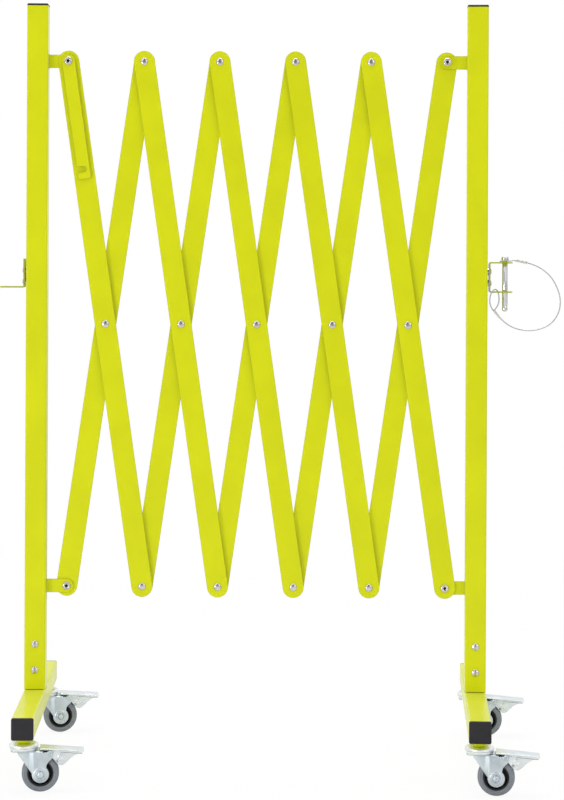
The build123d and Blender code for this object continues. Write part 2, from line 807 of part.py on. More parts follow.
def pedal():
    """The brake pedal: a sloping tread on two cheeks, with the bar that presses on the tyre."""
    outer = fork_half_width - fork_wall - pedal_side_gap
    outline = make_face(Polyline(*scaled(cheek_outline_shares, castor_height), close=True))
    outline += Circle(fork_arm_radius)
    under = fork_arm_radius + pedal_side_gap
    cheeks = []
    for side in (-1, 1):
        middle = side * (outer - pedal_cheek_thickness / 2)
        cheeks.append(side_plate(outline, pedal_cheek_thickness, middle))
    half = pedal_tread_width / 2
    end = pedal_reach - pedal_pin_reach
    tread = block(-pedal_tread_start, end, -half, half, under, under + pedal_tread_thickness)
    for side in (-1, 1):
        edges = sorted((side * half, side * (half - pedal_cheek_thickness)))
        low = under + pedal_tread_thickness - pedal_lip_depth
        tread += block(pedal_lip_start, end, edges[0], edges[1], low, under + pedal_tread_thickness)
    body = tread + cheeks[0] + cheeks[1]
    rivet_head = domed_head(cheek_rivet_radius, cheek_rivet_height)
    for side in (-1, 1):
        place = Pos(cheek_rivet_reach, side * outer, -cheek_rivet_drop)
        body += place * Rot(-90 * side, 0, 0) * rivet_head
    body = Pos(pedal_pin_reach, 0, pedal_pin_height) * Rot(0, pedal_slope, 0) * body
    reach = wheel_radius + pedal_shoe_gap + pedal_shoe_radius
    shoe_x = castor_trail + reach * math.cos(math.radians(pedal_shoe_angle))
    shoe_z = wheel_radius + reach * math.sin(math.radians(pedal_shoe_angle))
    body += along_y(pedal_shoe_radius, -outer, outer, shoe_x, shoe_z)
    hole_radius = pedal_pin_radius + hinge_clearance
    return body - along_y(hole_radius, -race_radius, race_radius, pedal_pin_reach, pedal_pin_height)


# Placing: each end is drawn on the left post's sense, and mirrored for the right post

end_places = {"left": Rot(0, 0, toe_in["left"]), "right": Pos(post_spacing, 0, 0) * Rot(0, 0, -toe_in["right"])}


def square(side, shapes):
    """Puts shapes that stay square to the lattice at one end of the barrier."""
    if side == "left":
        return shapes
    return [Pos(post_spacing, 0, 0) * mirror(shape, Plane.YZ) for shape in shapes]


def toed(side, shapes):
    """Puts shapes that turn with the foot at one end of the barrier."""
    return square(side, [Rot(0, 0, toe_in[side]) * shape for shape in shapes])


def castor_place(side, end):
    """Where one castor stands, and how far it is swivelled."""
    along_foot = castor_spacing / 2 if end == "rear" else -castor_spacing / 2
    return end_places[side] * Pos(0, along_foot, 0) * Rot(0, 0, castor_turns[side, end])


screw_heights = {"left": hook_screw_heights, "right": coupling_screw_heights}
slider_height = Pos(0, 0, bottom_pivot_height)
slider_screws = {"left": left_slider_screw(), "right": right_slider_screw()}
castor_pieces = {
    "fork": [fork()],
    "pins": fork_pins(),
    "core": [wheel_core()],
    "tyre": [tyre()],
    "pedal": [pedal()],
}
for side in ("left", "right"):
    keep(f"{side}_post", square(side, [post(toe_in[side], screw_heights[side])]))
    keep(f"{side}_foot", toed(side, [foot()]))
    keep(f"{side}_end_caps", toed(side, end_caps()))
    keep(f"{side}_fasteners", toed(side, base_bolts() + bracket_screws(screw_heights[side])))
    keep(f"{side}_slider_lug", square(side, [slider_height * slider_lug()]))
    keep(f"{side}_slider_shoe", square(side, [slider_height * slider_shoe(toe_in[side])]))
    keep(f"{side}_slider_screw", square(side, [slider_height * Pos(pivot_reach, 0, 0) * slider_screws[side]]))
    for end in ("front", "rear"):
        for name, shapes in castor_pieces.items():
            keep(f"{side}_{end}_castor_{name}", [castor_place(side, end) * shape for shape in shapes])
    keep(f"{side}_castor_heads", [castor_place(side, end) * castor_head() for end in ("front", "rear")])

keep("hook_bracket", toed("left", [hook_bracket()]))
keep("coupling_bracket", toed("right", [coupling_bracket()]))
keep("lock_pin", toed("right", [lock_pin()]))

for number in range(1, unit_count + 1):
    keep(f"front_bar_{number}", [front_bar(number)])
    keep(f"rear_bar_{number}", [rear_bar(number)])
    keep(f"front_bar_{number}_rivets", rivets(number))

top_pivot = Pos(pivot_reach, 0, top_pivot_height)
keep("top_pivot_screw", square("left", [top_pivot * top_pivot_screw()]))
keep("catch_screw", square("right", [top_pivot * catch_screw()]))
keep("latch_strap", [latch_strap()])

wires = [wire(route) for route in (pin_eye_route, free_route, flange_eye_route)]
ferrules = [ferrule(middle_of(pin_eye_route[0], pin_eye_route[-1]), free_route[0])]
ferrules.append(ferrule(middle_of(flange_eye_route[0], flange_eye_route[-1]), free_route[-1]))
lanyard = {"lanyard_cable": wires, "lanyard_ferrules": ferrules}

# The box of all that is kept so far gives the origin
boxes = [shape.bounding_box() for shapes in pieces.values() for shape in shapes]
middle_x = (min(box.min.X for box in boxes) + max(box.max.X for box in boxes)) / 2
middle_y = (min(box.min.Y for box in boxes) + max(box.max.Y for box in boxes)) / 2
to_origin = Pos(-middle_x, -middle_y, 0)

for name, shapes in lanyard.items():
    keep(name, [end_places["right"] * Pos(0, 0, coupling_low_height) * shape for shape in shapes])

for name, shapes in pieces.items():
    solids = [to_origin * solid for shape in shapes for solid in shape.solids()]
    export_step(solids[0] if len(solids) == 1 else Compound(children=solids), f"parts/{name}.step")

print("middle of the box", middle_x, middle_y, "pitch", pitch)
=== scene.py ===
# %% [markdown]
# # A wheeled folding barrier
# Two square posts on braked castor feet carry a scissor lattice of flat bars. The solids come from
# CAD, at their real size. This lesson gives them their finishes, remakes the pieces whose small
# shapes matter to the eye, and lights the whole as a catalogue photographer would.

import json
import math

import bmesh
import bpy
from mathutils import Matrix, Vector


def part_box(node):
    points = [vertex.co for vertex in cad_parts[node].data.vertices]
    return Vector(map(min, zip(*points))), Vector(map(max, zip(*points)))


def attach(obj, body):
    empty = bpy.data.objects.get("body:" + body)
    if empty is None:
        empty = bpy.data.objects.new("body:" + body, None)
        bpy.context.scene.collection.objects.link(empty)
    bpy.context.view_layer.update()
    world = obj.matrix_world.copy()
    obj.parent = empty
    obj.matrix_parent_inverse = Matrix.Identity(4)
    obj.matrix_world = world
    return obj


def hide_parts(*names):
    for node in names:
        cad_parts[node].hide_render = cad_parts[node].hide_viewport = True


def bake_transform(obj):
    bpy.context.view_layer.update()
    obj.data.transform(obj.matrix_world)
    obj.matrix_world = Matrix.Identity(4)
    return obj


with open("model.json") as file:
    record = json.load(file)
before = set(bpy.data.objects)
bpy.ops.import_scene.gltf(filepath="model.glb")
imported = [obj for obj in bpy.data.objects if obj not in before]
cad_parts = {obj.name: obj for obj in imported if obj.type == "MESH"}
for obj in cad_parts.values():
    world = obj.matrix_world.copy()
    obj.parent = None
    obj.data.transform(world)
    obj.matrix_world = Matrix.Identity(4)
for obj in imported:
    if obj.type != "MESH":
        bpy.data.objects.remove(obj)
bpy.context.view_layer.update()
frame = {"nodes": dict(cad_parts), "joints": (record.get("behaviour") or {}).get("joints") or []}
nodes = frame["nodes"]
MM = 0.001


def point_mm(x, y, z):
    """A point that is written in millimetres, in Blender's metres."""
    return Vector((x, y, z)) * MM


def new_object(name, data):
    """An object in the scene, made of its data."""
    made = bpy.data.objects.new(name, data)
    bpy.context.scene.collection.objects.link(made)
    return made


# %% [markdown]
# Colours are written as a screen shows them. Blender mixes light in linear values, so one function
# turns the written colour into those.

# %% Colours
def linear(code):
    """Turns a screen colour such as #D6DC14 into the linear values that Blender mixes."""
    values = [int(code[i:i + 2], 16) / 255 for i in (1, 3, 5)]
    return [v / 12.92 if v <= 0.04045 else ((v + 0.055) / 1.055) ** 2.4 for v in values] + [1.0]


print("sprayed yellow in linear values", [round(v, 3) for v in linear("#D6DC14")])

# %% [markdown]
# The castors swivel on the feet, and each post stands half way between its two swivels. So the
# joints say where the posts are, and how far each foot is turned out of square.

# %% Where the posts stand
joint_at = {joint["name"]: Vector(joint["pos_m"]) for joint in frame["joints"] if "pos_m" in joint}


def end_matrix(side):
    """The place and turn of one end of the barrier, on the floor under its post."""
    front, rear = [joint_at[f"{side} {end} swivel"] for end in ("front", "rear")]
    middle = (front + rear) / 2
    middle.z = 0
    along = rear - front
    return Matrix.Translation(middle) @ Matrix.Rotation(-math.atan2(along.x, along.y), 4, "Z")


ends = {side: end_matrix(side) for side in ("left", "right")}
for side, place in ends.items():
    print(side, "post at", [round(v, 4) for v in place.translation])

# %% [markdown]
# A long lens a few paces away, level with the middle of the barrier, keeps the posts upright. The
# frame is shifted down rather than the camera tilted, as a view camera does for tall objects.

# %% Camera
camera_data = bpy.data.cameras.new("catalogue_camera")
camera_data.sensor_width = 36
camera_data.lens = 92.735
camera_data.shift_y = -0.1742
camera = new_object("catalogue_camera", camera_data)
camera.location = (0.0499, -2.9475, 0.7158)
camera.rotation_euler = (
    Matrix.Rotation(math.radians(0.6128), 3, "Z")
    @ Matrix.Rotation(math.radians(-0.2744), 3, "Y")
    @ Matrix.Rotation(math.radians(90), 3, "X")
).to_euler()
bpy.context.scene.camera = camera
print("camera", round(-camera.location.y, 2), "m away,", camera_data.lens, "mm lens")

# %% [markdown]
# The lock pin hangs on a thin galvanised wire, so that it can't be lost. A wire bends in one smooth
# line, so each run is a NURBS curve through a few listed points: an eye round the pin, the free
# run, and an eye through the bracket's lower flange.

# %% Wire routes, measured from the right post's axis at the underside of the coupling bracket
pin_eye_route = [
    (0.0546, -0.0011, 0.0463), (0.0475, -0.0046, 0.0454), (0.0405, -0.0061, 0.0449),
    (0.0346, -0.0046, 0.0449), (0.0326, 0.0002, 0.0449), (0.0348, 0.0048, 0.0449),
    (0.0405, 0.0061, 0.0449), (0.0474, 0.0045, 0.0454), (0.0546, 0.0011, 0.0463),
]
free_route = [
    (0.0720, 0.0000, 0.0428), (0.0826, -0.0003, 0.0396), (0.0940, -0.0006, 0.0333),
    (0.1038, -0.0008, 0.0250), (0.1114, -0.0009, 0.0136), (0.1171, -0.0008, 0.0003),
    (0.1192, -0.0006, -0.0133), (0.1170, -0.0003, -0.0270), (0.1108, -0.0001, -0.0386),
    (0.1010, 0.0000, -0.0473), (0.0884, 0.0001, -0.0524), (0.0740, 0.0001, -0.0542),
    (0.0606, 0.0000, -0.0526), (0.0494, -0.0001, -0.0486), (0.0400, -0.0003, -0.0427),
    (0.0320, -0.0014, -0.0347),
]
flange_eye_route = [
    (0.0230, -0.0124, -0.0249), (0.0198, -0.0144, -0.0205), (0.0179, -0.0156, -0.0141),
    (0.0179, -0.0159, -0.0073), (0.0197, -0.0156, -0.0007), (0.0230, -0.0142, 0.0041),
    (0.0266, -0.0112, 0.0051), (0.0296, -0.0084, 0.0024), (0.0310, -0.0079, -0.0035),
    (0.0316, -0.0086, -0.0101), (0.0304, -0.0098, -0.0163), (0.0276, -0.0110, -0.0211),
    (0.0249, -0.0114, -0.0249),
]
bracket_place = ends["right"] @ Matrix.Translation((0, 0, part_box("coupling_bracket")[0][2]))
wire_radius = 0.9 * MM
print(len(free_route), "points along the free run")

# %% Bend the wires
def wire(name, route):
    """A round wire along one smooth curve through a route that is measured at the bracket.

    Its thickness is kept in the points: each point's radius times a bevel of one metre.
    """
    data = bpy.data.curves.new(name, "CURVE")
    data.dimensions = "3D"
    data.bevel_depth = 1.0
    data.bevel_resolution = 5
    data.resolution_u = 10
    data.use_fill_caps = True
    spline = data.splines.new("NURBS")
    spline.points.add(len(route) - 1)
    for point, place in zip(spline.points, route):
        point.co = (*(bracket_place @ Vector(place)), 1)
        point.radius = wire_radius
    spline.order_u = 3
    spline.use_endpoint_u = True
    return new_object(name, data)


free_curve = wire("lanyard_free_curve", free_route)
pin_eye = wire("lanyard_pin_eye", pin_eye_route)
flange_eye = wire("lanyard_flange_eye", flange_eye_route)


def centreline(piece):
    """The points along a wire's own curve, read without its thickness."""
    bare = piece.copy()
    bare.data = piece.data.copy()
    bare.data.bevel_depth = 0
    line = bpy.data.meshes.new_from_object(bare)
    bpy.data.objects.remove(bare)
    return [vertex.co.copy() for vertex in line.vertices]


free_line = centreline(free_curve)

# %% [markdown]
# The wire's one end stays on the bracket and its other end goes up with the lock pin. A curve can't
# bend between two bodies, so the free run's tube becomes a mesh of the same shape. Each eye rides
# with what it holds.

# %% The free run becomes a mesh
free_wire = new_object("lanyard_free_wire", bpy.data.meshes.new_from_object(free_curve))
bpy.data.objects.remove(free_curve)
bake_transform(free_wire)
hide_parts("lanyard_cable")
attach(pin_eye, "lock pin")
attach(flange_eye, "right end")
print("the free run has", len(free_wire.data.vertices), "points")

# %% [markdown]
# Every finish below is a small network of nodes. One function adds a node, sets its values and
# plugs in its links, so that a finish reads as a list of what the surface is made of.

# %% A helper for nodes
def add(tree, kind, links=None, **settings):
    """Adds one node, with its settings by name and its input links as {socket: output}."""
    node = tree.nodes.new(kind)
    for name, value in settings.items():
        setattr(node, name, value)
    for socket, source in (links or {}).items():
        if isinstance(source, bpy.types.NodeSocket):
            tree.links.new(source, node.inputs[socket])
        else:
            node.inputs[socket].default_value = source
    return node


def new_finish(name):
    """An empty material with its output and its main shader."""
    material = bpy.data.materials.new(name)
    material.use_nodes = True
    tree = material.node_tree
    tree.nodes.clear()
    shader = add(tree, "ShaderNodeBsdfPrincipled")
    add(tree, "ShaderNodeOutputMaterial", {"Surface": shader.outputs["BSDF"]})
    return material, tree, shader


def per_metre(size_mm):
    """The texture scale at which one feature is that many millimetres wide."""
    return 1 / (size_mm * MM)


print("a 2.5 mm ripple is scale", per_metre(2.5))

# %% [markdown]
# No coat or plating is quite even, so a finish drifts between two close tones in soft clouds. Its
# edges are painted as well: darker on the coat, partly as painted shade, and near white on the
# metals as a painted highlight. They are found by comparing the true surface with one whose edges
# are rounded off.

# %% Clouds and edges
def clouds(tree, place, size_mm, detail, start, end, dark, pale):
    """Soft clouds of a given size, and the colour that goes with them from dark to pale."""
    cloud = add(tree, "ShaderNodeTexNoise", {"Vector": place, "Scale": per_metre(size_mm), "Detail": detail})
    tint = add(tree, "ShaderNodeValToRGB", {"Fac": cloud.outputs["Fac"]})
    for element, position, code in zip(tint.color_ramp.elements, (start, end), (dark, pale)):
        element.position = position
        element.color = linear(code)
    return cloud.outputs["Fac"], tint.outputs["Color"]


def edges(tree, radius_mm, start, end, most):
    """Rounded normals, and a value that grows to most where they part from the true ones."""
    rounded = add(tree, "ShaderNodeBevel", {"Radius": radius_mm * MM}, samples=6).outputs["Normal"]
    true_normal = add(tree, "ShaderNodeNewGeometry").outputs["Normal"]
    agreement = add(tree, "ShaderNodeVectorMath", {0: rounded, 1: true_normal}, operation="DOT_PRODUCT")
    edge = add(tree, "ShaderNodeMapRange", {"Value": agreement.outputs["Value"], "From Min": start,
                                            "From Max": end, "To Min": 0.0, "To Max": most})
    return rounded, edge.outputs["Result"]


print("clouds of 70 mm are scale", round(per_metre(70), 1))

# %% [markdown]
# ## Polyester powder coat
# The posts, feet, bars and brackets are mild steel, dusted with fluorescent yellow polyester powder
# and baked. The melted powder leaves a glossy skin with a faint orange-peel ripple of 2 to 3 mm,
# is a shade uneven over a hand's width, and draws thin over sharp edges. Those edges are painted
# darker: partly the thin coat, partly painted shade on the rounded edges.

# %% Powder coat
def powder_coat(name, sheared=None):
    """Yellow powder coat; sheared, if given, is a darker colour painted on faces that look front or back, as
    painted shade.
    """
    material, tree, shader = new_finish(name)
    place = add(tree, "ShaderNodeTexCoord").outputs["Object"]
    _, tint = clouds(tree, place, size_mm=70, detail=2.0, start=0.35, end=0.65, dark="#D3D80A",
                     pale="#D9DE0A")
    rounded, edge = edges(tree, radius_mm=1.1, start=1.0, end=0.8, most=0.85)
    # Sharp edges are mixed toward dark olive: partly thin coat, partly painted shade on the rounded edges.
    colour = add(tree, "ShaderNodeMix", {"Factor": edge, 6: tint, 7: linear("#A4A812")}, data_type="RGBA")
    # Faces that look straight to the front or back are painted darker: painted shade on the narrow faces.
    if sheared:
        normal = add(tree, "ShaderNodeTexCoord").outputs["Normal"]
        depth = add(tree, "ShaderNodeSeparateXYZ", {"Vector": normal}).outputs["Y"]
        size = add(tree, "ShaderNodeMath", {0: depth}, operation="ABSOLUTE")
        painted_shade = add(tree, "ShaderNodeMapRange", {"Value": size.outputs["Value"], "From Min": 0.85,
                                               "From Max": 0.98})
        colour = add(tree, "ShaderNodeMix", {"Factor": painted_shade.outputs["Result"], 6: colour.outputs[2],
                                             7: linear(sheared)}, data_type="RGBA")
    peel = add(tree, "ShaderNodeTexNoise", {"Vector": place, "Scale": per_metre(2.6), "Detail": 1.0})
    ripple = add(tree, "ShaderNodeBump", {"Height": peel.outputs["Fac"], "Distance": 0.012 * MM,
                                          "Strength": 0.6, "Normal": rounded})
    tree.links.new(colour.outputs[2], shader.inputs["Base Color"])
    tree.links.new(ripple.outputs["Normal"], shader.inputs["Normal"])
    shader.inputs["Roughness"].default_value = 0.3
    shader.inputs["IOR"].default_value = 1.5
    shader.inputs["Specular IOR Level"].default_value = 0.2
    shader.inputs["Sheen Weight"].default_value = 0.2
    shader.inputs["Sheen Roughness"].default_value = 0.3
    return material


yellow_coat = powder_coat("powder_coat_yellow_gloss")
coat_with_shaded_faces = powder_coat("powder_coat_yellow_shaded_faces", sheared="#AAB036")
print(yellow_coat.name, coat_with_shaded_faces.name)

# %% [markdown]
# ## Moulded plastics and rubber
# The tube plugs are injection-moulded polyethylene: black, waxy, with a fine spark-eroded grain.
# The wheel cores are glass-filled nylon, a deeper black with a duller sheen. The tyres are grey
# thermoplastic rubber, matt, with a skin that scuffs where it rolls. The slider shoes are white
# acetal, which is smooth and slightly milky.

# %% Moulded plastics and rubber
def moulded(name, dark, pale, roughness, grain_mm, grain_depth, cloud_mm=30.0):
    """A moulded skin: two close colours in soft clouds, and a fine grain."""
    material, tree, shader = new_finish(name)
    place = add(tree, "ShaderNodeTexCoord").outputs["Object"]
    cloud, tint = clouds(tree, place, cloud_mm, 4.0, 0.3, 0.7, dark, pale)
    rounded = add(tree, "ShaderNodeBevel", {"Radius": 0.4 * MM}, samples=4)
    grain = add(tree, "ShaderNodeTexNoise", {"Vector": place, "Scale": per_metre(grain_mm), "Detail": 3.0})
    bump = add(tree, "ShaderNodeBump", {"Height": grain.outputs["Fac"], "Distance": grain_depth * MM,
                                        "Strength": 0.7, "Normal": rounded.outputs["Normal"]})
    drift = 0.06
    sheen = add(tree, "ShaderNodeMapRange", {"Value": cloud, "To Min": roughness - drift,
                                             "To Max": roughness + drift})
    tree.links.new(tint, shader.inputs["Base Color"])
    tree.links.new(sheen.outputs["Result"], shader.inputs["Roughness"])
    tree.links.new(bump.outputs["Normal"], shader.inputs["Normal"])
    shader.inputs["Specular IOR Level"].default_value = 0.35
    return material


# Each has its darker and paler tone, its roughness, and its grain's width and depth in mm
plug_black = moulded("polyethylene_black_moulded", "#1B191F", "#222026", 0.5, 0.6, 0.02)
core_black = moulded("glass_filled_nylon_black", "#121214", "#1B1B1E", 0.42, 0.8, 0.02)
tyre_grey = moulded("thermoplastic_rubber_grey", "#7F858C", "#8B9198", 0.72, 0.7, 0.04, cloud_mm=9.0)
shoe_white = moulded("acetal_white_moulded", "#DEDCD2", "#E9E7DF", 0.35, 1.5, 0.01)
print("moulded finishes", [m.name for m in (plug_black, core_black, tyre_grey, shoe_white)])

# %% [markdown]
# ## Metals
# The castor forks and pedals are pressed steel, zinc-plated and blue-passivated: a cold pale grey
# with soft clouds a centimetre or two wide. The pedal's copy is painted paler, as painted light,
# a dark strip under each pedal lip is painted shade, and the screw hollows are painted black as
# shade. The bearing cups are plated too, a shade paler. The rivets and screws are nickel-plated and
# shiny. The lock pin is turned, so it carries fine rings across its length. The wire is galvanised
# and dull, and its sleeves are pressed from soft aluminium.

# %% Metals
def plated(name, dark, pale, roughness, cloud_mm, drift, edge_mm=0.4, stretch=(1.0, 1.0, 1.0), fine_mm=0.5,
           fine_depth=0.006):
    """A plated metal: soft clouds of colour and of gloss, a fine surface grain, and a painted highlight on
    its edges.
    """
    material, tree, shader = new_finish(name)
    place = add(tree, "ShaderNodeTexCoord").outputs["Object"]
    start, end = 0.3, 0.7
    cloud, tint = clouds(tree, place, cloud_mm, 5.0, start, end, dark, pale)
    gloss = add(tree, "ShaderNodeMapRange", {"Value": cloud, "From Min": start, "From Max": end,
                                             "To Min": roughness - drift, "To Max": roughness + drift})
    rounded, edge = edges(tree, edge_mm, start=0.995, end=0.85, most=1.0)
    # Edges are mixed toward near white: a painted highlight along every edge.
    edge_highlight = add(tree, "ShaderNodeMix", {"Factor": edge, 6: tint, 7: linear("#F6F8F9")}, data_type="RGBA")
    stretched = add(tree, "ShaderNodeMapping", {"Vector": place, "Scale": stretch}).outputs["Vector"]
    fine = add(tree, "ShaderNodeTexNoise", {"Vector": stretched, "Scale": per_metre(fine_mm), "Detail": 2.0})
    bump = add(tree, "ShaderNodeBump", {"Height": fine.outputs["Fac"], "Distance": fine_depth * MM,
                                        "Strength": 0.6, "Normal": rounded})
    tree.links.new(edge_highlight.outputs[2], shader.inputs["Base Color"])
    tree.links.new(gloss.outputs["Result"], shader.inputs["Roughness"])
    tree.links.new(bump.outputs["Normal"], shader.inputs["Normal"])
    shader.inputs["Metallic"].default_value = 1.0
    return material


# Each has its darker and paler tone, its roughness, its clouds' width in mm, and the gloss's drift
zinc = plated("zinc_plated_pressed_steel", "#B9C4CC", "#CFD8DF", 0.4, 14, 0.05, edge_mm=1.0)
# The pedal takes a paler copy of the fork's zinc: painted light, where the pedal looks brighter than the
# fork.
pedal_zinc_painted_paler = plated("zinc_plated_pedal_painted_paler", "#D3DADF", "#E5EAED", 0.4, 14, 0.05, edge_mm=1.0)
cup_zinc = plated("zinc_plated_bearing_cup", "#E2E7EA", "#F2F4F5", 0.42, 9, 0.04, edge_mm=0.8)
# A dark grey for a strip under each pedal lip: painted shade.
lip_shade_steel = plated("painted_shade_under_lip", "#74797C", "#8E9396", 0.45, 5, 0.05)
nickel = plated("nickel_plated_steel", "#C2BEC0", "#D6D2D2", 0.14, 6, 0.03)
turned_steel = plated("turned_bright_steel", "#C4C5C6", "#D9D9D8", 0.15, 12, 0.03, stretch=(0.2, 0.2, 2.0),
                      fine_mm=0.6, fine_depth=0.0015)
wire_steel = plated("galvanised_wire", "#AFB2B5", "#C6C9CB", 0.45, 3, 0.05)
sleeve_metal = plated("crimped_aluminium_sleeve", "#CFCDC6", "#E2E0DA", 0.34, 4, 0.05)
# A near black for the screw hollows: painted shade.
socket_shade_black = plated("painted_shade_black_steel", "#1E1D1E", "#2C2B2C", 0.45, 4, 0.05)
print("metal finishes", [m.name for m in (zinc, cup_zinc, nickel, turned_steel, wire_steel, sleeve_metal)])

# %% Give every node its finish
def dress(piece, material):
    """Puts one finish on every slot of a piece."""
    if not piece.data.materials:
        piece.data.materials.append(material)
    for index in range(len(piece.data.materials)):
        piece.data.materials[index] = material


def finish_of(name):
    """The finish that a node has on the real barrier."""
    endings = {
        "tyre": tyre_grey, "core": core_black, "caps": plug_black, "shoe": shoe_white, "fork": zinc,
        "pins": nickel, "pedal": zinc, "heads": zinc, "rivets": nickel, "screw": nickel,
        "fasteners": nickel, "pin": turned_steel, "cable": wire_steel, "ferrules": sleeve_metal,
        "bracket": coat_with_shaded_faces,
    }
    return endings.get(name.split("_")[-1], yellow_coat)


for name, node in nodes.items():
    dress(node, finish_of(name))
for piece in (free_wire, pin_eye, flange_eye):
    dress(piece, wire_steel)
print("dressed", len(nodes), "nodes")

# %% [markdown]
# ## Turned pieces
# Rivets, screws, tyres and bearing cups are all round about one axis, so a lathe is the natural way
# to make them: a short profile of radius and height is turned into rings of points. The solids have
# the same pieces with plain steps; here they get their domes, rims and hollows.

# %% A lathe and a press
def lathe(mesh, profile, place, steps=40):
    """Turns a profile of (radius, height) in millimetres about the Z axis of a place."""
    rings = []
    for radius, height in profile:
        angles = [2 * math.pi * step / steps for step in range(1 if radius == 0 else steps)]
        spots = [point_mm(radius * math.cos(angle), radius * math.sin(angle), height) for angle in angles]
        rings.append([mesh.verts.new(place @ spot) for spot in spots])
    for low, high in zip(rings, rings[1:]):
        for step in range(steps):
            after = (step + 1) % steps
            turns = ((low, step), (low, after), (high, after), (high, step))
            # On the axis a ring is one point, which counts once, so that its faces are triangles
            corners = list(dict.fromkeys(ring[turn % len(ring)] for ring, turn in turns))
            if len(corners) > 2:
                mesh.faces.new(corners)


def band(mesh, low, high):
    """Joins two rings of points with a band of faces."""
    for index in range(len(low)):
        after = (index + 1) % len(low)
        mesh.faces.new([low[index], low[after], high[after], high[index]])


def prism(mesh, outline, low, high, place):
    """A plate with a given outline in millimetres, between two heights of a place."""
    under, over = [[mesh.verts.new(place @ point_mm(x, y, z)) for x, y in outline] for z in (low, high)]
    mesh.faces.new(list(reversed(under)))
    mesh.faces.new(over)
    band(mesh, under, over)


def polygon(sides, radius, turn=0.0):
    """The corners of a regular polygon in millimetres, such as a nut's."""
    angles = [2 * math.pi * side / sides + turn for side in range(sides)]
    return [(radius * math.cos(angle), radius * math.sin(angle)) for angle in angles]


def finish_piece(name, mesh, material, body, stands_for=(), sharp=35):
    """Makes the piece from its points, smooths it up to a sharp angle, and puts it on its body.

    The material may be a pair, where some faces name the second one.
    """
    bmesh.ops.recalc_face_normals(mesh, faces=mesh.faces)
    data = bpy.data.meshes.new(name)
    mesh.to_mesh(data)
    mesh.free()
    data.shade_smooth()
    data.set_sharp_from_angle(angle=math.radians(sharp))
    for finish in material if isinstance(material, tuple) else (material,):
        data.materials.append(finish)
    piece = new_object(name, data)
    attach(piece, body)
    if stands_for:
        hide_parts(*stands_for)
    return piece


def facing(point, direction):
    """A place at a point whose Z axis looks along a direction."""
    return Matrix.Translation(point) @ Vector(direction).to_track_quat("Z", "Y").to_matrix().to_4x4()


print("a nut has corners", [tuple(round(v, 1) for v in corner) for corner in polygon(6, 6.5)[:2]])

# %% [markdown]
# ## Lattice rivets
# Each crossing of two bars turns on one steel rivet: a shiny dome in front, a washer between the
# bars, and a flatter set tail behind. The setting tool leaves a small flat on top of the dome.

# %% Rivets
lattice = {name: spot for name, spot in joint_at.items() if " rivet " in name or name.endswith("pivot")}
lattice["first"] = joint_at["lattice fold"]
middle_depth = lattice["first"].y
bottom_height = lattice["left slider pivot"].z
bar_face = 4.7
shank_profile = [(3.0, -9.6), (3.0, -0.2)]
dome_profile = [
    (5.4, 0), (5.4, 0.5), (5.1, 1.05), (4.4, 1.55), (3.4, 1.92), (2.3, 2.12), (1.5, 2.18), (0, 2.2),
]
tail_profile = [(4.8, 0.2), (4.8, 1.1), (4.4, 1.7), (3.4, 2.0), (2.2, 2.0), (1.6, 1.5), (0, 1.45)]
washer_profile = [(3.1, -1.7), (6.9, -1.7), (7.0, -1.6), (7.0, 1.4), (6.9, 1.5), (3.1, 1.5)]


def at_depth(spot, depth, direction):
    """A place in line with a joint of the lattice, so many millimetres behind the lattice's middle."""
    return facing(Vector((spot.x, middle_depth + depth * MM, spot.z)), (0, direction, 0))


def rivet(mesh, spot):
    """One rivet through a crossing, seen from both faces of the lattice."""
    lathe(mesh, shank_profile, at_depth(spot, -bar_face, -1), 24)
    lathe(mesh, dome_profile, at_depth(spot, -bar_face, -1))
    lathe(mesh, tail_profile, at_depth(spot, bar_face, 1))
    lathe(mesh, washer_profile, at_depth(spot, 0, 1), 32)


for number in range(1, 6):
    mesh = bmesh.new()
    crossing = lattice[f"middle rivet {number}"]
    rivet(mesh, crossing)
    if number > 1:
        rivet(mesh, lattice[f"top rivet {number - 1}"])
    if number < 5:
        top = lattice[f"top rivet {number}"]
        rivet(mesh, Vector((top.x, 0, bottom_height)))
    finish_piece(f"lattice_rivets_{number}", mesh, nickel, f"front bar {number}",
                 [f"front_bar_{number}_rivets"])
print("rivets between", round(bottom_height, 4), "and", round(lattice["first"].z, 4), "m")

# %% [markdown]
# ## Corner screws
# The four corners turn on shouldered socket screws. Seen from the front, each is a bright rolled
# rim round a deep six-sided hollow, which looks dark because little light finds its way out again;
# the hollow is also painted black, as painted shade.

# %% Corner screws
screw_rim = [(5.6, 0.0), (5.8, 0.2), (5.8, 1.5), (5.6, 2.1), (5.1, 2.6), (4.3, 2.95), (3.4, 3.0), (2.8, 2.75)]
hollow_radius, hollow_top, hollow_floor = 2.5, 2.5, 0.5
shank_radius, nut_radius, nut_height = 4.0, 6.5, 4.0


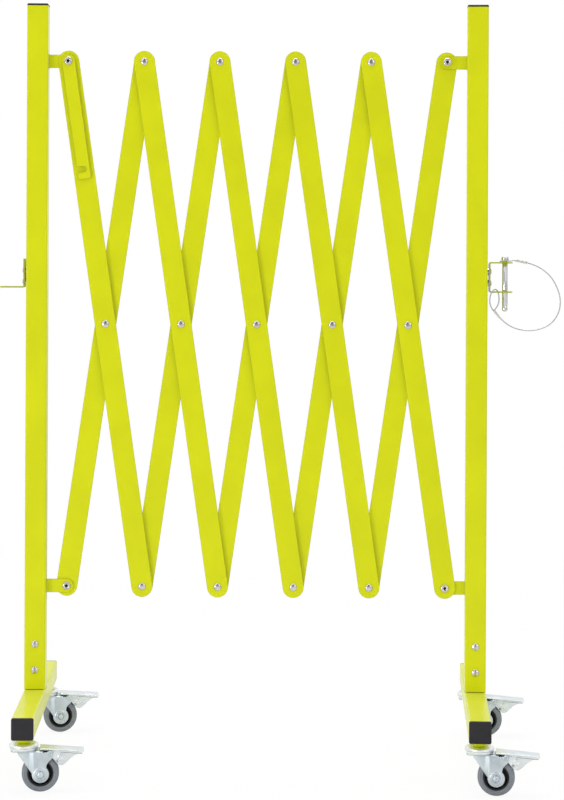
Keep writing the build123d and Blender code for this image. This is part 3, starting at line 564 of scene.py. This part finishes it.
def socket_screw(mesh, spot, face, shank_end, nut_face, collar):
    """A round-headed screw with a six-sided hollow, its shank, a nut behind, and maybe a collar.

    Its parts are given by their depths behind the middle of the lattice, in millimetres.
    """
    head = at_depth(spot, face, -1)
    lathe(mesh, screw_rim, head)
    rim_radius, rim_height = screw_rim[-1]
    rim_points = [mesh.verts.new(head @ point_mm(*corner, rim_height)) for corner in polygon(36, rim_radius)]
    top, low = [[mesh.verts.new(head @ point_mm(*corner, height)) for corner in polygon(6, hollow_radius)]
                for height in (hollow_top, hollow_floor)]
    for side in range(6):
        after = (side + 1) % 6
        fan = [rim_points[(side * 6 + step) % 36] for step in range(7)]
        mesh.faces.new([*fan, top[after], top[side]])
        mesh.faces.new([top[side], top[after], low[after], low[side]])
    mesh.faces.new(low)
    lathe(mesh, [(shank_radius, 0.0), (shank_radius, face - shank_end)], head, 24)
    back = at_depth(spot, nut_face, 1)
    prism(mesh, polygon(6, nut_radius), 0, nut_height, back)
    lathe(mesh, [(4.9, nut_height), (4.6, 4.5), (4.1, 4.5), (4.1, 4.2)], back, 24)
    if collar:
        near, far = collar
        lathe(mesh, [(7.0, 0), (7.0, far - near)], at_depth(spot, near, 1), 32)


print("socket screws have a", 2 * max(radius for radius, _ in screw_rim), "mm head")

# %% Put the corner screws in place
# Each has its body and its joint, then the depths of its head, shank end, nut and collar in mm
corner_screws = {
    "top_pivot_screw": ("left end", lattice["first"], -10.3, 6.0, 1.5, (-7.4, -4.9)),
    "catch_screw": ("right end", lattice["right post pivot"], -10.3, 9.4, 4.9, (-1.7, -1.5)),
    "left_slider_screw": ("left slider", lattice["left slider pivot"], -1.5, 9.4, 4.9, None),
    "right_slider_screw": ("right slider", lattice["right slider pivot"], -4.9, 6.0, 1.5, None),
}
for name, (body, spot, face, shank_end, nut_face, collar) in corner_screws.items():
    mesh = bmesh.new()
    socket_screw(mesh, spot, face, shank_end, nut_face, collar)
    piece = finish_piece(f"{name}_turned", mesh, nickel, body, [name])
    piece.data.materials.append(socket_shade_black)
    for polygon_of_piece in piece.data.polygons:
        middle = polygon_of_piece.center
        height = (middle_depth - middle.y) / MM + face
        across = math.hypot(middle.x - spot.x, middle.z - spot.z) / MM
        # The hollow's walls and floor are painted black, as painted shade
        if across < hollow_radius + 0.1 and hollow_floor - 0.3 < height < hollow_top + 0.1:
            polygon_of_piece.material_index = 1
print(len(corner_screws), "corner screws")

# %% [markdown]
# ## The lock pin, its wire sleeves, and the welds
# The pin is turned from bright bar: a long chamfer at its tip, a grooved shank, a low head with a
# finger hollow. Each wire end is closed by an aluminium sleeve, pressed flat in three bites. Where a
# lug meets a post, a small weld bead runs round it, a row of overlapping scales.

# %% Lock pin and sleeves
pin_box = [Vector(corner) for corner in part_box("lock_pin")]
pin_foot = Vector(((pin_box[0].x + pin_box[1].x) / 2, (pin_box[0].y + pin_box[1].y) / 2, pin_box[0].z))
pin_height = (pin_box[1].z - pin_box[0].z) / MM
head_low = pin_height - 5.4
pin_profile = [
    (0, 0), (1.7, 0), (2.2, 0.2), (3.8, 2.0), (4.0, 2.6), (4.0, 8.0), (3.75, 8.4), (3.75, 9.2), (4.0, 9.6),
    (4.0, head_low - 0.6), (3.8, head_low - 0.3), (3.8, head_low), (5.1, head_low), (5.3, head_low + 0.3),
    (5.3, pin_height - 1.5), (5.0, pin_height - 0.6), (4.4, pin_height - 0.1), (3.6, pin_height),
    (3.0, pin_height - 0.4), (0, pin_height - 1.4),
]
mesh = bmesh.new()
lathe(mesh, pin_profile, Matrix.Translation(pin_foot), 48)
finish_piece("lock_pin_turned", mesh, turned_steel, "lock pin", ["lock_pin"])
print("lock pin", round(pin_height, 1), "mm long")


def sleeve(mesh, mouth, end):
    """A pressed sleeve between two points: an oval tube with three bites along it."""
    start, stop = bracket_place @ Vector(mouth), bracket_place @ Vector(end)
    place = facing(start, stop - start)
    length = (stop - start).length / MM
    bites, steps = 3, 32
    rings = []
    for step in range(steps + 1):
        share = step / steps
        bite = 0.22 * (1 - math.cos(2 * math.pi * bites * share))
        lip = 0.15 if step in (0, steps) else 0.0
        half_thin, half_wide = 1.15 - bite / 2 - lip, 1.95 + bite / 3 - lip
        rings.append([mesh.verts.new(place @ point_mm(half_thin * x, half_wide * y, share * length))
                      for x, y in polygon(20, 1.0)])
    for low, high in zip(rings, rings[1:]):
        band(mesh, low, high)
    mesh.faces.new(rings[0])
    mesh.faces.new(rings[-1])


for held, eye_route, wire_end, body in (("pin", pin_eye_route, free_route[0], "lock pin"),
                                        ("flange", flange_eye_route, free_route[-1], "right end")):
    mesh = bmesh.new()
    sleeve(mesh, (Vector(eye_route[0]) + Vector(eye_route[-1])) / 2, wire_end)
    finish_piece(f"lanyard_{held}_sleeve", mesh, sleeve_metal, body,
                                ["lanyard_ferrules"])

# %% Weld beads
scale_radius, scale_pitch = 0.96, 1.1


def weld(mesh, start, stop):
    """A bead of overlapping scales on a line between two points in millimetres."""
    start, stop = Vector(start), Vector(stop)
    count = max(int((stop - start).length / scale_pitch), 1)
    for step in range(count):
        spot = Matrix.Translation(start.lerp(stop, (step + 0.5) / count) * MM)
        bmesh.ops.create_uvsphere(mesh, u_segments=10, v_segments=6, radius=scale_radius * MM, matrix=spot)


lug_side, lug_edge, bead_end, post_face = 1.5, 9.5, 9.3, 15.3
for side, spot in (("left", lattice["first"]), ("right", lattice["right post pivot"])):
    inwards = 1 if side == "left" else -1
    x = ends[side].translation.x / MM + inwards * post_face
    y, z = spot.y / MM, spot.z / MM
    mesh = bmesh.new()
    for sign in (-1, 1):
        weld(mesh, (x, y + sign * lug_side, z - bead_end), (x, y + sign * lug_side, z + bead_end))
    for sign in (-1, 1):
        weld(mesh, (x, y - lug_side, z + sign * lug_edge), (x, y + lug_side, z + sign * lug_edge))
    finish_piece(f"{side}_lug_weld", mesh, yellow_coat, f"{side} end", sharp=80)
print("weld scales of", scale_radius, "mm at both top lugs")

# %% [markdown]
# ## Castors
# A castor fork is pressed from one sheet: two legs folded down from a top plate, set inwards in front
# by a joggle, which catches the light as a pale upright band. All shapes are drawn in millimetres
# with the swivel axis at the origin and the pedal towards +X, then copied to the four places.

# %% Sheet metal
def arc(middle, radius, start, end, steps):
    """Points along an arc, given its angles in degrees."""
    angles = [math.radians(start + (end - start) * step / steps) for step in range(steps + 1)]
    return [(middle[0] + radius * math.cos(angle), middle[1] + radius * math.sin(angle)) for angle in angles]


def filled(mesh, outline, holes, place_of):
    """Fills an outline that may have holes; place_of gives the millimetre point of each corner."""
    edges = []
    for loop in (outline, *holes):
        corners = [mesh.verts.new(point_mm(*place_of(*corner))) for corner in loop]
        edges += [mesh.edges.new(pair) for pair in zip(corners, corners[1:] + corners[:1])]
    bmesh.ops.triangle_fill(mesh, use_beauty=True, use_dissolve=False, edges=edges)


def thickened(mesh, thickness, outwards):
    """Gives a bent surface its sheet thickness, and breaks its sheared edges."""
    bmesh.ops.remove_doubles(mesh, verts=mesh.verts, dist=0.01 * MM)
    bmesh.ops.recalc_face_normals(mesh, faces=mesh.faces)
    mesh.faces.ensure_lookup_table()
    if any(face.normal.dot(outwards(face.calc_center_median())) < -0.5 for face in mesh.faces):
        bmesh.ops.reverse_faces(mesh, faces=mesh.faces)
    data = bpy.data.meshes.new("blank")
    mesh.to_mesh(data)
    mesh.free()
    blank = new_object("blank", data)
    sheet = blank.modifiers.new("sheet", "SOLIDIFY")
    sheet.thickness, sheet.offset = thickness * MM, -1
    broken_edge = 0.3
    broken = blank.modifiers.new("broken_edge", "BEVEL")
    broken.width, broken.segments, broken.limit_method = broken_edge * MM, 2, "ANGLE"
    broken.angle_limit = math.radians(50)
    solid = bmesh.new()
    solid.from_object(blank, bpy.context.evaluated_depsgraph_get())
    bpy.data.objects.remove(blank)
    return solid


def softened(mesh, edge):
    """Rounds the sharp edges of a solid form."""
    bmesh.ops.recalc_face_normals(mesh, faces=mesh.faces)
    sharp = [line for line in mesh.edges if line.calc_face_angle(0) > math.radians(40)]
    bmesh.ops.bevel(mesh, geom=sharp, offset=edge * MM, segments=2, affect="EDGES", profile=0.5)


def joined(*meshes):
    """One mesh from several."""
    whole = meshes[0]
    for part in meshes[1:]:
        data = bpy.data.meshes.new("part")
        part.to_mesh(data)
        part.free()
        whole.from_mesh(data)
        bpy.data.meshes.remove(data)
    return whole


def second_finish(mesh):
    """Marks all of a mesh to take its piece's second material."""
    for face in mesh.faces:
        face.material_index = 1
    return mesh


def crosswise(middle, out=0, direction=1):
    """A place at (x, height), so many millimetres out of the castor's middle, that looks sideways."""
    return facing(point_mm(middle[0], out, middle[1]), (0, direction, 0))


upright = Matrix.Identity(4)
print("an arc of", len(arc((0, 0), 5, 0, 90, 6)), "points")

# %% The fork
axle = (22.4, 25.0)
pedal_pin = (35.0, 52.4)
leg_top, plate_top = 53.6, 55.8
leg_outline = [
    (-8.6, leg_top), (10.3, 27.1), *arc(axle, 11.4, 172, 407, 30), (30.2, 35.4), (31.0, 38.5), (32.6, 41.0),
    (34.6, 43.1), (36.5, 44.6), (37.7, 46.3), *arc(pedal_pin, 4.0, -44, 150, 12), (26.6, 54.2),
    (25.6, leg_top),
]
joggle = [(7.4, 12.0), (7.8, 12.03), (8.2, 12.1), (13.1, 13.9), (13.5, 13.97), (13.9, 14.0)]
leg_face = joggle[-1][1]


def leg_depth(x):
    """How far a leg stands from the middle: near in front, out over the wheel, with a joggle between."""
    for (low, near), (high, far) in zip(joggle, joggle[1:]):
        if x < high:
            return near + (far - near) * max(x - low, 0) / (high - low)
    return leg_face


def fork_sheet():
    """The two legs and the top plate with rounded folds, one sheet thick."""
    mesh = bmesh.new()
    filled(mesh, leg_outline, [], lambda x, z: (x, 0, z))
    for x, _ in joggle:
        whole = [*mesh.verts, *mesh.edges, *mesh.faces]
        bmesh.ops.bisect_plane(mesh, geom=whole, plane_co=(x * MM, 0, 0), plane_no=(1, 0, 0))
    top_edge = sorted({round(v.co.x / MM, 4) for v in mesh.verts if abs(v.co.z / MM - leg_top) < 0.001})
    far = mesh.copy()
    for part, side in ((mesh, -1), (far, 1)):
        for vertex in part.verts:
            vertex.co.y = side * leg_depth(vertex.co.x / MM) * MM
    mesh = joined(mesh, far)
    fold = plate_top - leg_top
    for side in (-1, 1):
        rows = []
        for across, up in arc((fold, 0), fold, 180, 90, 5):
            rows.append([mesh.verts.new(point_mm(x, side * (leg_depth(x) - across), leg_top + up))
                         for x in top_edge])
        for low, high in zip(rows, rows[1:]):
            for index in range(len(top_edge) - 1):
                mesh.faces.new([low[index], low[index + 1], high[index + 1], high[index]])
    plate = [(x, -leg_depth(x) + fold) for x in top_edge]
    plate += [(x, leg_depth(x) - fold) for x in reversed(top_edge)]
    plate += arc((-11.5, 3.5), 6.0, 110, 180, 5) + arc((-11.5, -3.5), 6.0, 180, 250, 5)
    filled(mesh, plate, [arc((0, 0), 5.3, 0, 345, 23)], lambda x, y: (x, y, plate_top))

    def outwards(point):
        on_plate = abs(point.z / MM - plate_top) <= 0.1
        return Vector((0, 0, 1)) if on_plate else Vector((0, point.y, 0)).normalized()

    return thickened(mesh, 1.8, outwards)


boss_profile = [
    (8.9, -0.3), (8.9, 0.1), (8.4, 0.6), (7.7, 0.8), (6.9, 0.75), (6.3, 0.5), (5.3, 0.5), (4.0, 0.5),
]
lower_race = [
    (5.4, 60.4), (19.3, 60.4), (19.6, 60.2), (19.5, 59.6), (19.1, 58.5), (18.4, 57.3), (17.5, 56.4),
    (16.6, 55.85), (5.4, 55.85),
]


def fork_mesh():
    """The whole fork: its sheet, the pressed rings at the axle, and the lower bearing cup."""
    mesh = fork_sheet()
    race = bmesh.new()
    lathe(race, lower_race + lower_race[:1], upright, 56)
    mesh = joined(mesh, second_finish(race))
    for side in (-1, 1):
        lathe(mesh, boss_profile, crosswise(axle, side * leg_face, side), 40)
    return mesh


print("leg depth", [round(leg_depth(x), 2) for x in (0, 10, 14)])

# %% Pins, bearing heads and wheel
axle_ring = [(6.0, 0.5), (6.0, 1.1), (5.7, 1.4), (5.2, 1.4), (5.0, 1.1), (5.0, 0.5)]
axle_tip = [(4.0, 3.2), (3.3, 3.3), (3.0, 3.4), (2.8, 4.0), (2.2, 4.3), (0, 4.4)]
eyelet = [
    (3.6, 0), (3.6, 0.5), (3.3, 0.95), (2.8, 1.15), (2.3, 1.1), (1.9, 0.8), (1.6, 0.0), (1.5, -6.0),
    (0, -6.0),
]


def pins_mesh():
    """The axle bolt with its domed ends, and the hollow rivet that the pedal turns on."""
    mesh = bmesh.new()
    for side in (-1, 1):
        end = crosswise(axle, side * leg_face, side)
        lathe(mesh, axle_ring, end)
        prism(mesh, polygon(6, 4.5), 0.5, 3.2, end)
        lathe(mesh, axle_tip, end)
        lathe(mesh, eyelet, crosswise(pedal_pin, side * leg_face, side), 32)
    lathe(mesh, [(4.0, -leg_face), (4.0, leg_face)], crosswise(axle), 28)
    lathe(mesh, [(2.0, -13.9), (2.0, 13.9)], crosswise(pedal_pin), 24)
    return mesh


head_profile = [
    (0, 87), (5, 87), (5, 65), (11.0, 65), (17.6, 65), (18.9, 64.7), (19.7, 64.0), (20.0, 63.1), (20.0, 61.6),
    (19.9, 61.0), (19.6, 60.8), (5, 60.8), (5, 53.8), (7.4, 53.8), (7.5, 53.6), (7.5, 52.6), (7.0, 52.2),
    (0, 52.2),
]


def heads_mesh():
    """The fixed part of one castor: stem and nut in the foot, upper bearing cup, king pin."""
    mesh = bmesh.new()
    lathe(mesh, head_profile, upright, 56)
    nut_low, nut_high = 74.8, 82.5
    prism(mesh, polygon(6, 8.0), nut_low, nut_high, upright)
    lathe(mesh, [(6.8, nut_high), (6.0, 82.8), (5.0, 82.8)], upright, 28)
    return mesh


half_tyre = [
    (25.0, 0), (25.0, 4.6), (24.75, 6.4), (24.1, 7.9), (23.0, 8.9), (21.9, 9.3), (21.1, 9.35), (20.9, 9.1),
    (20.6, 9.1), (20.4, 9.4), (19.4, 9.2), (18.3, 8.8), (17.7, 8.3), (17.5, 8.1),
]
half_core = [
    (17.5, 8.0), (16.9, 8.1), (15.6, 8.1), (15.1, 7.8), (14.9, 7.0), (14.7, 3.4), (14.0, 2.6), (12.4, 2.4),
    (9.0, 2.4), (7.9, 3.0), (7.5, 4.2), (7.5, 11.4), (7.1, 11.9), (4.4, 11.9), (4.1, 11.6), (4.1, 0),
]


def wheel_meshes():
    """The tyre and the core, both turned about the axle."""
    at_axle = crosswise(axle)
    tyre, core = bmesh.new(), bmesh.new()
    lathe(tyre, [(r, -h) for r, h in reversed(half_tyre)] + half_tyre[1:] + [(17.5, -8.1)], at_axle, 88)
    lathe(core, half_core + [(r, -h) for r, h in reversed(half_core[:-1])] + half_core[:1], at_axle, 64)
    return tyre, core


print("wheel", 2 * half_tyre[0][0], "mm across")

# %% The brake pedal
pedal_slope, cheek_face = 4.5, 11.9
tread_back, tread_end, tread_side, corner = -13.6, 45.2, 13, 1.8
rivet_ring = [
    (4.3, 0), (4.3, 0.35), (4.0, 0.75), (3.5, 0.95), (2.9, 0.9), (2.5, 0.5), (2.3, -0.4), (0, -2.4),
]
bar_profile = [(0, -11.9), (2.1, -11.9), (2.5, -11.5), (2.5, 11.5), (2.1, 11.9), (0, 11.9)]
cheek_outline = [
    *arc((0, 0), 4.0, 96, 238, 10), (2.6, -5.4), (5.5, -7.5), (8.3, -10.4), (10.6, -12.7), (12.4, -14.0),
    (14.6, -14.6), (17.4, -14.6), (19.6, -13.7), (22.2, -11.3), (25.0, -8.2), (28.2, -4.6), (31.6, -1.6),
    (35.6, 0.9), (40.0, 2.5), (43.0, 3.2), (43.0, 4.6),
]


def pedal_mesh():
    """The pedal: a tread with lips down its sides, two cheeks, their rivet, and the brake bar."""
    parts = []
    for side in (-1, 1):
        cheek = bmesh.new()
        filled(cheek, cheek_outline, [arc((0, 0), 2.1, 0, 330, 11)], lambda x, z: (x, side * cheek_face, z))
        parts.append(thickened(cheek, 1.5, lambda point: Vector((0, side, 0))))
    tread = bmesh.new()
    tip = tread_end - corner
    plan = [(tread_back, -tread_side), *arc((tip, corner - tread_side), corner, -90, 0, 5),
            *arc((tip, tread_side - corner), corner, 0, 90, 5), (tread_back, tread_side)]
    prism(tread, plan, 4.3, 6.2, upright)
    sideways = facing(Vector((0, 0, 0)), (0, -1, 0))
    for side in (-1, 1):
        low, high = sorted((-side * tread_side, -side * 11.5))
        prism(tread, [(9.0, 3.0), (tip, 3.0), (tip, 5.4), (9.0, 5.4)], low, high, sideways)
        # A thin strip under each lip takes the second, dark finish: painted shade under the lip.
        painted_shade = bmesh.new()
        prism(painted_shade, [(14.0, 2.45), (tip, 2.45), (tip, 3.2), (14.0, 3.2)], low + 0.1, high - 0.1, sideways)
        parts.append(second_finish(painted_shade))
    softened(tread, 0.45)
    parts.append(tread)
    mesh = joined(*parts)
    for side in (-1, 1):
        lathe(mesh, rivet_ring, crosswise((15, -4), side * cheek_face, side), 32)
    lean = Matrix.Translation(point_mm(pedal_pin[0], 0, pedal_pin[1]))
    lean = lean @ Matrix.Rotation(math.radians(pedal_slope), 4, "Y")
    bmesh.ops.transform(mesh, matrix=lean, verts=mesh.verts)
    reach, angle = 27.95, math.radians(38)
    bar = (axle[0] + reach * math.cos(angle), axle[1] + reach * math.sin(angle))
    lathe(mesh, bar_profile, crosswise(bar), 28)
    return mesh


print("pedal slope", pedal_slope, "degrees")

# %% Put the castors in place
def castor_matrix(side, end):
    """The place of one castor on the floor, with its pedal along the line from swivel to axle."""
    swivel = joint_at[f"{side} {end} swivel"]
    trail = joint_at[f"{side} {end} wheel spin"] - swivel
    turn = Matrix.Rotation(math.atan2(trail.y, trail.x), 4, "Z")
    return Matrix.Translation((swivel.x, swivel.y, 0)) @ turn


def placed(master, place):
    """A copy of a castor's part, at the place of one castor."""
    copy = master.copy()
    bmesh.ops.transform(copy, matrix=place, verts=copy.verts)
    return copy


tyre_master, core_master = wheel_meshes()
heads_master = heads_mesh()
kinds = {
    "fork": (fork_mesh(), (zinc, cup_zinc), "zinc_plate", "fork"),
    "pins": (pins_mesh(), zinc, "zinc_plate", "fork"),
    "tyre": (tyre_master, tyre_grey, "grey_tyre", "wheel"),
    "core": (core_master, core_black, "black_plastic", "wheel"),
    "pedal": (pedal_mesh(), (pedal_zinc_painted_paler, lip_shade_steel), "zinc_plate", "pedal"),
}
for side in ends:
    heads = bmesh.new()
    for end in ("front", "rear"):
        place = castor_matrix(side, end)
        for kind, (master, material, slot, body) in kinds.items():
            finish_piece(f"{side}_{end}_{kind}_formed", placed(master, place), material,
                         f"{side} {end} {body}", [f"{side}_{end}_castor_{kind}"])
        heads = joined(heads, placed(heads_master, place))
        print(side, end, "castor at", [round(v, 3) for v in place.translation])
    finish_piece(f"{side}_bearing_heads", heads, cup_zinc, f"{side} end",
                 [f"{side}_castor_heads"])

# %% [markdown]
# ## Feet
# Each foot is a length of square tube with a pressed cup under each end, in which the castor's stem
# is held. An upright socket, a slightly smaller tube, fills the post's end, and a thin black ring is
# put in the joint between post and foot as painted shade: from the front it is the dark line at the
# post's bottom.

# %% Feet
def rounded_square(width, corner):
    """The outline of a square tube in millimetres, with round corners."""
    flat = width / 2 - corner
    points = []
    for quarter, (x, y) in enumerate(((flat, flat), (-flat, flat), (-flat, -flat), (flat, -flat))):
        points += arc((x, y), corner, 90 * quarter, 90 * quarter + 90, 6)
    return points


def square_tube(mesh, width, corner, wall, low, high, place):
    """A length of square tube between two heights of a place, open at both ends."""
    outlines = (rounded_square(width, corner), rounded_square(width - 2 * wall, max(corner - wall, 0.4)))
    outer_low, outer_high, inner_low, inner_high = [
        [mesh.verts.new(place @ point_mm(x, y, z)) for x, y in outline]
        for outline in outlines for z in (low, high)
    ]
    band(mesh, outer_low, outer_high)
    band(mesh, inner_low, inner_high)
    band(mesh, outer_low, inner_low)
    band(mesh, outer_high, inner_high)


foot_length, foot_low, foot_high = 394.0, 73.0, 103.0
# Each tube has its width, its outer corner and its wall
foot_tube, socket_tube, shade_ring_tube = (30.0, 2.5, 1.8), (26.0, 1.25, 2.0), (30.16, 3.2, 1.6)
cup_profile = [
    (5.3, 65.0), (7.6, 65.0), (8.3, 65.3), (9.3, 66.5), (10.2, 68.2), (10.9, 70.0), (11.3, 71.8),
    (11.4, 73.2),
]
for side, place in ends.items():
    half_spacing = (joint_at[f"{side} rear swivel"] - joint_at[f"{side} front swivel"]).length / 2
    mesh = bmesh.new()
    along = place @ facing(point_mm(0, 0, (foot_low + foot_high) / 2), (0, 1, 0))
    square_tube(mesh, *foot_tube, -foot_length / 2, foot_length / 2, along)
    square_tube(mesh, *socket_tube, foot_high - 0.9, foot_high + 90, place)
    for direction in (-1, 1):
        lathe(mesh, cup_profile, place @ Matrix.Translation((0, direction * half_spacing, 0)), 48)
    finish_piece(f"{side}_foot_formed", mesh, yellow_coat, f"{side} end", [f"{side}_foot"])
    # After the foot, a thin black ring round the post's foot: painted shade in the joint.
    mesh = bmesh.new()
    square_tube(mesh, *shade_ring_tube, foot_high + 0.02, foot_high + 0.8, place)
    finish_piece(f"{side}_post_shade_ring", mesh, plug_black, f"{side} end")
print("feet", foot_length, "mm long, castors", round(2 * half_spacing / MM, 1), "mm apart")

# %% [markdown]
# ## The studio
# The barrier stands on a white floor, in a white room. The floor is a plain pale paper that keeps a
# soft shadow under the wheels, and fades to pure white a few paces away.

# %% Floor
mesh = bpy.data.meshes.new("studio_floor")
half = 30.0
corners = [(-half, -half, 0), (half, -half, 0), (half, half, 0), (-half, half, 0)]
mesh.from_pydata(corners, [], [(0, 1, 2, 3)])
floor = new_object("studio_floor", mesh)
floor.location.z = -0.5 * MM
material = bpy.data.materials.new("white_paper")
material.use_nodes = True
tree = material.node_tree
tree.nodes.clear()
paper = add(tree, "ShaderNodeBsdfDiffuse", {"Color": linear("#F6F6F5")})
glow = add(tree, "ShaderNodeEmission", {"Color": linear("#FFFFFF"), "Strength": 1.0})
ray = add(tree, "ShaderNodeLightPath")
spot = add(tree, "ShaderNodeTexCoord").outputs["Object"]
away = add(tree, "ShaderNodeVectorMath", {0: spot}, operation="LENGTH")
white = add(tree, "ShaderNodeMapRange", {"Value": away.outputs["Value"], "From Min": 0.7, "From Max": 2.2,
                                         "To Min": 0.92, "To Max": 1.0})
share = add(tree, "ShaderNodeMath", {0: ray.outputs["Is Camera Ray"], 1: white.outputs["Result"]},
            operation="MULTIPLY")
mixed = add(tree, "ShaderNodeMixShader", {"Fac": share.outputs["Value"], 1: paper.outputs["BSDF"],
                                          2: glow.outputs["Emission"]})
add(tree, "ShaderNodeOutputMaterial", {"Surface": mixed.outputs["Shader"]})
mesh.materials.append(material)
print("floor", floor.dimensions[:])

# %% [markdown]
# Shiny metal shows the room that it stands in. The room is white, with a dark middle in front of the
# barrier, where a studio is open, and a grey wall on the right, so that a dome and a pin have light
# and dark sides. The greys are tied to the room itself, and only mirror-like rays see them.

# %% The white room
world = bpy.data.worlds.new("white_room")
bpy.context.scene.world = world
world.use_nodes = True
tree = world.node_tree
tree.nodes.clear()
toward = add(tree, "ShaderNodeSeparateXYZ", {"Vector": add(tree, "ShaderNodeTexCoord").outputs["Generated"]})
across = add(tree, "ShaderNodeMapRange", {"Value": toward.outputs["X"], "From Min": -1.0, "From Max": 1.0})
walls = add(tree, "ShaderNodeValToRGB", {"Fac": across.outputs["Result"]})
# From the left wall at 0 to the right wall at 1, and how bright the room looks there
wall_greys = [
    (0.0, 0.85), (0.12, 1.0), (0.29, 1.0), (0.38, 0.6), (0.43, 0.25), (0.52, 0.25), (0.58, 0.6), (0.66, 1.0),
    (0.86, 1.0), (0.93, 0.35), (1.0, 0.5),
]
while len(walls.color_ramp.elements) < len(wall_greys):
    walls.color_ramp.elements.new(0.5)
for element, (position, grey) in zip(walls.color_ramp.elements, wall_greys):
    element.position = position
    element.color = (grey, grey, grey, 1.0)
ahead = add(tree, "ShaderNodeMapRange", {"Value": toward.outputs["Y"], "From Min": 0.1, "From Max": -0.3})
mirrored = add(tree, "ShaderNodeMix", {"Factor": ahead.outputs["Result"], 2: 1.0, 3: walls.outputs["Color"]},
               data_type="FLOAT")
ray = add(tree, "ShaderNodeLightPath")
room_light = 0.66
glossy = add(tree, "ShaderNodeMix", {"Factor": ray.outputs["Is Glossy Ray"], 2: room_light,
                                     3: mirrored.outputs[0]}, data_type="FLOAT")
direct = add(tree, "ShaderNodeMath", {0: ray.outputs["Is Camera Ray"], 1: ray.outputs["Is Transmission Ray"]},
             operation="MAXIMUM")
level = add(tree, "ShaderNodeMix", {"Factor": direct.outputs["Value"], 2: glossy.outputs[0], 3: 1.0},
            data_type="FLOAT")
room = add(tree, "ShaderNodeBackground", {"Color": linear("#FFFFFF"), "Strength": level.outputs[0]})
add(tree, "ShaderNodeOutputWorld", {"Surface": room.outputs["Background"]})
print("room light", room_light, "of white")

# %% [markdown]
# The lamps are wide and soft, so the colours read as they are. A small one stands low on the left,
# to catch the pressed step in the castor forks.

# %% Lamps
def soft_lamp(name, place, aim, size, watts):
    """A square soft box that looks at a point."""
    data = bpy.data.lights.new(name, "AREA")
    data.size = size
    data.energy = watts
    lamp = new_object(name, data)
    lamp.location = place
    lamp.rotation_mode = "QUATERNION"
    lamp.rotation_quaternion = (Vector(aim) - Vector(place)).to_track_quat("-Z", "Y")


# Each has its place, the point it looks at, its width in metres and its watts
soft_lamp("key_soft_box", (-1.6, -2.6, 2.6), (0, 0, 0.5), 1.8, 8)
soft_lamp("fill_soft_box", (2.2, -2.4, 1.6), (0, 0, 0.5), 1.6, 7)
soft_lamp("top_soft_box", (0.0, 0.2, 3.2), (0, 0, 0), 2.0, 46)
soft_lamp("low_soft_box", (-1.9, -2.3, 0.3), (0, -0.1, 0.05), 0.5, 12)
print("four soft boxes")

bpy.context.scene.view_settings.view_transform = "Standard"
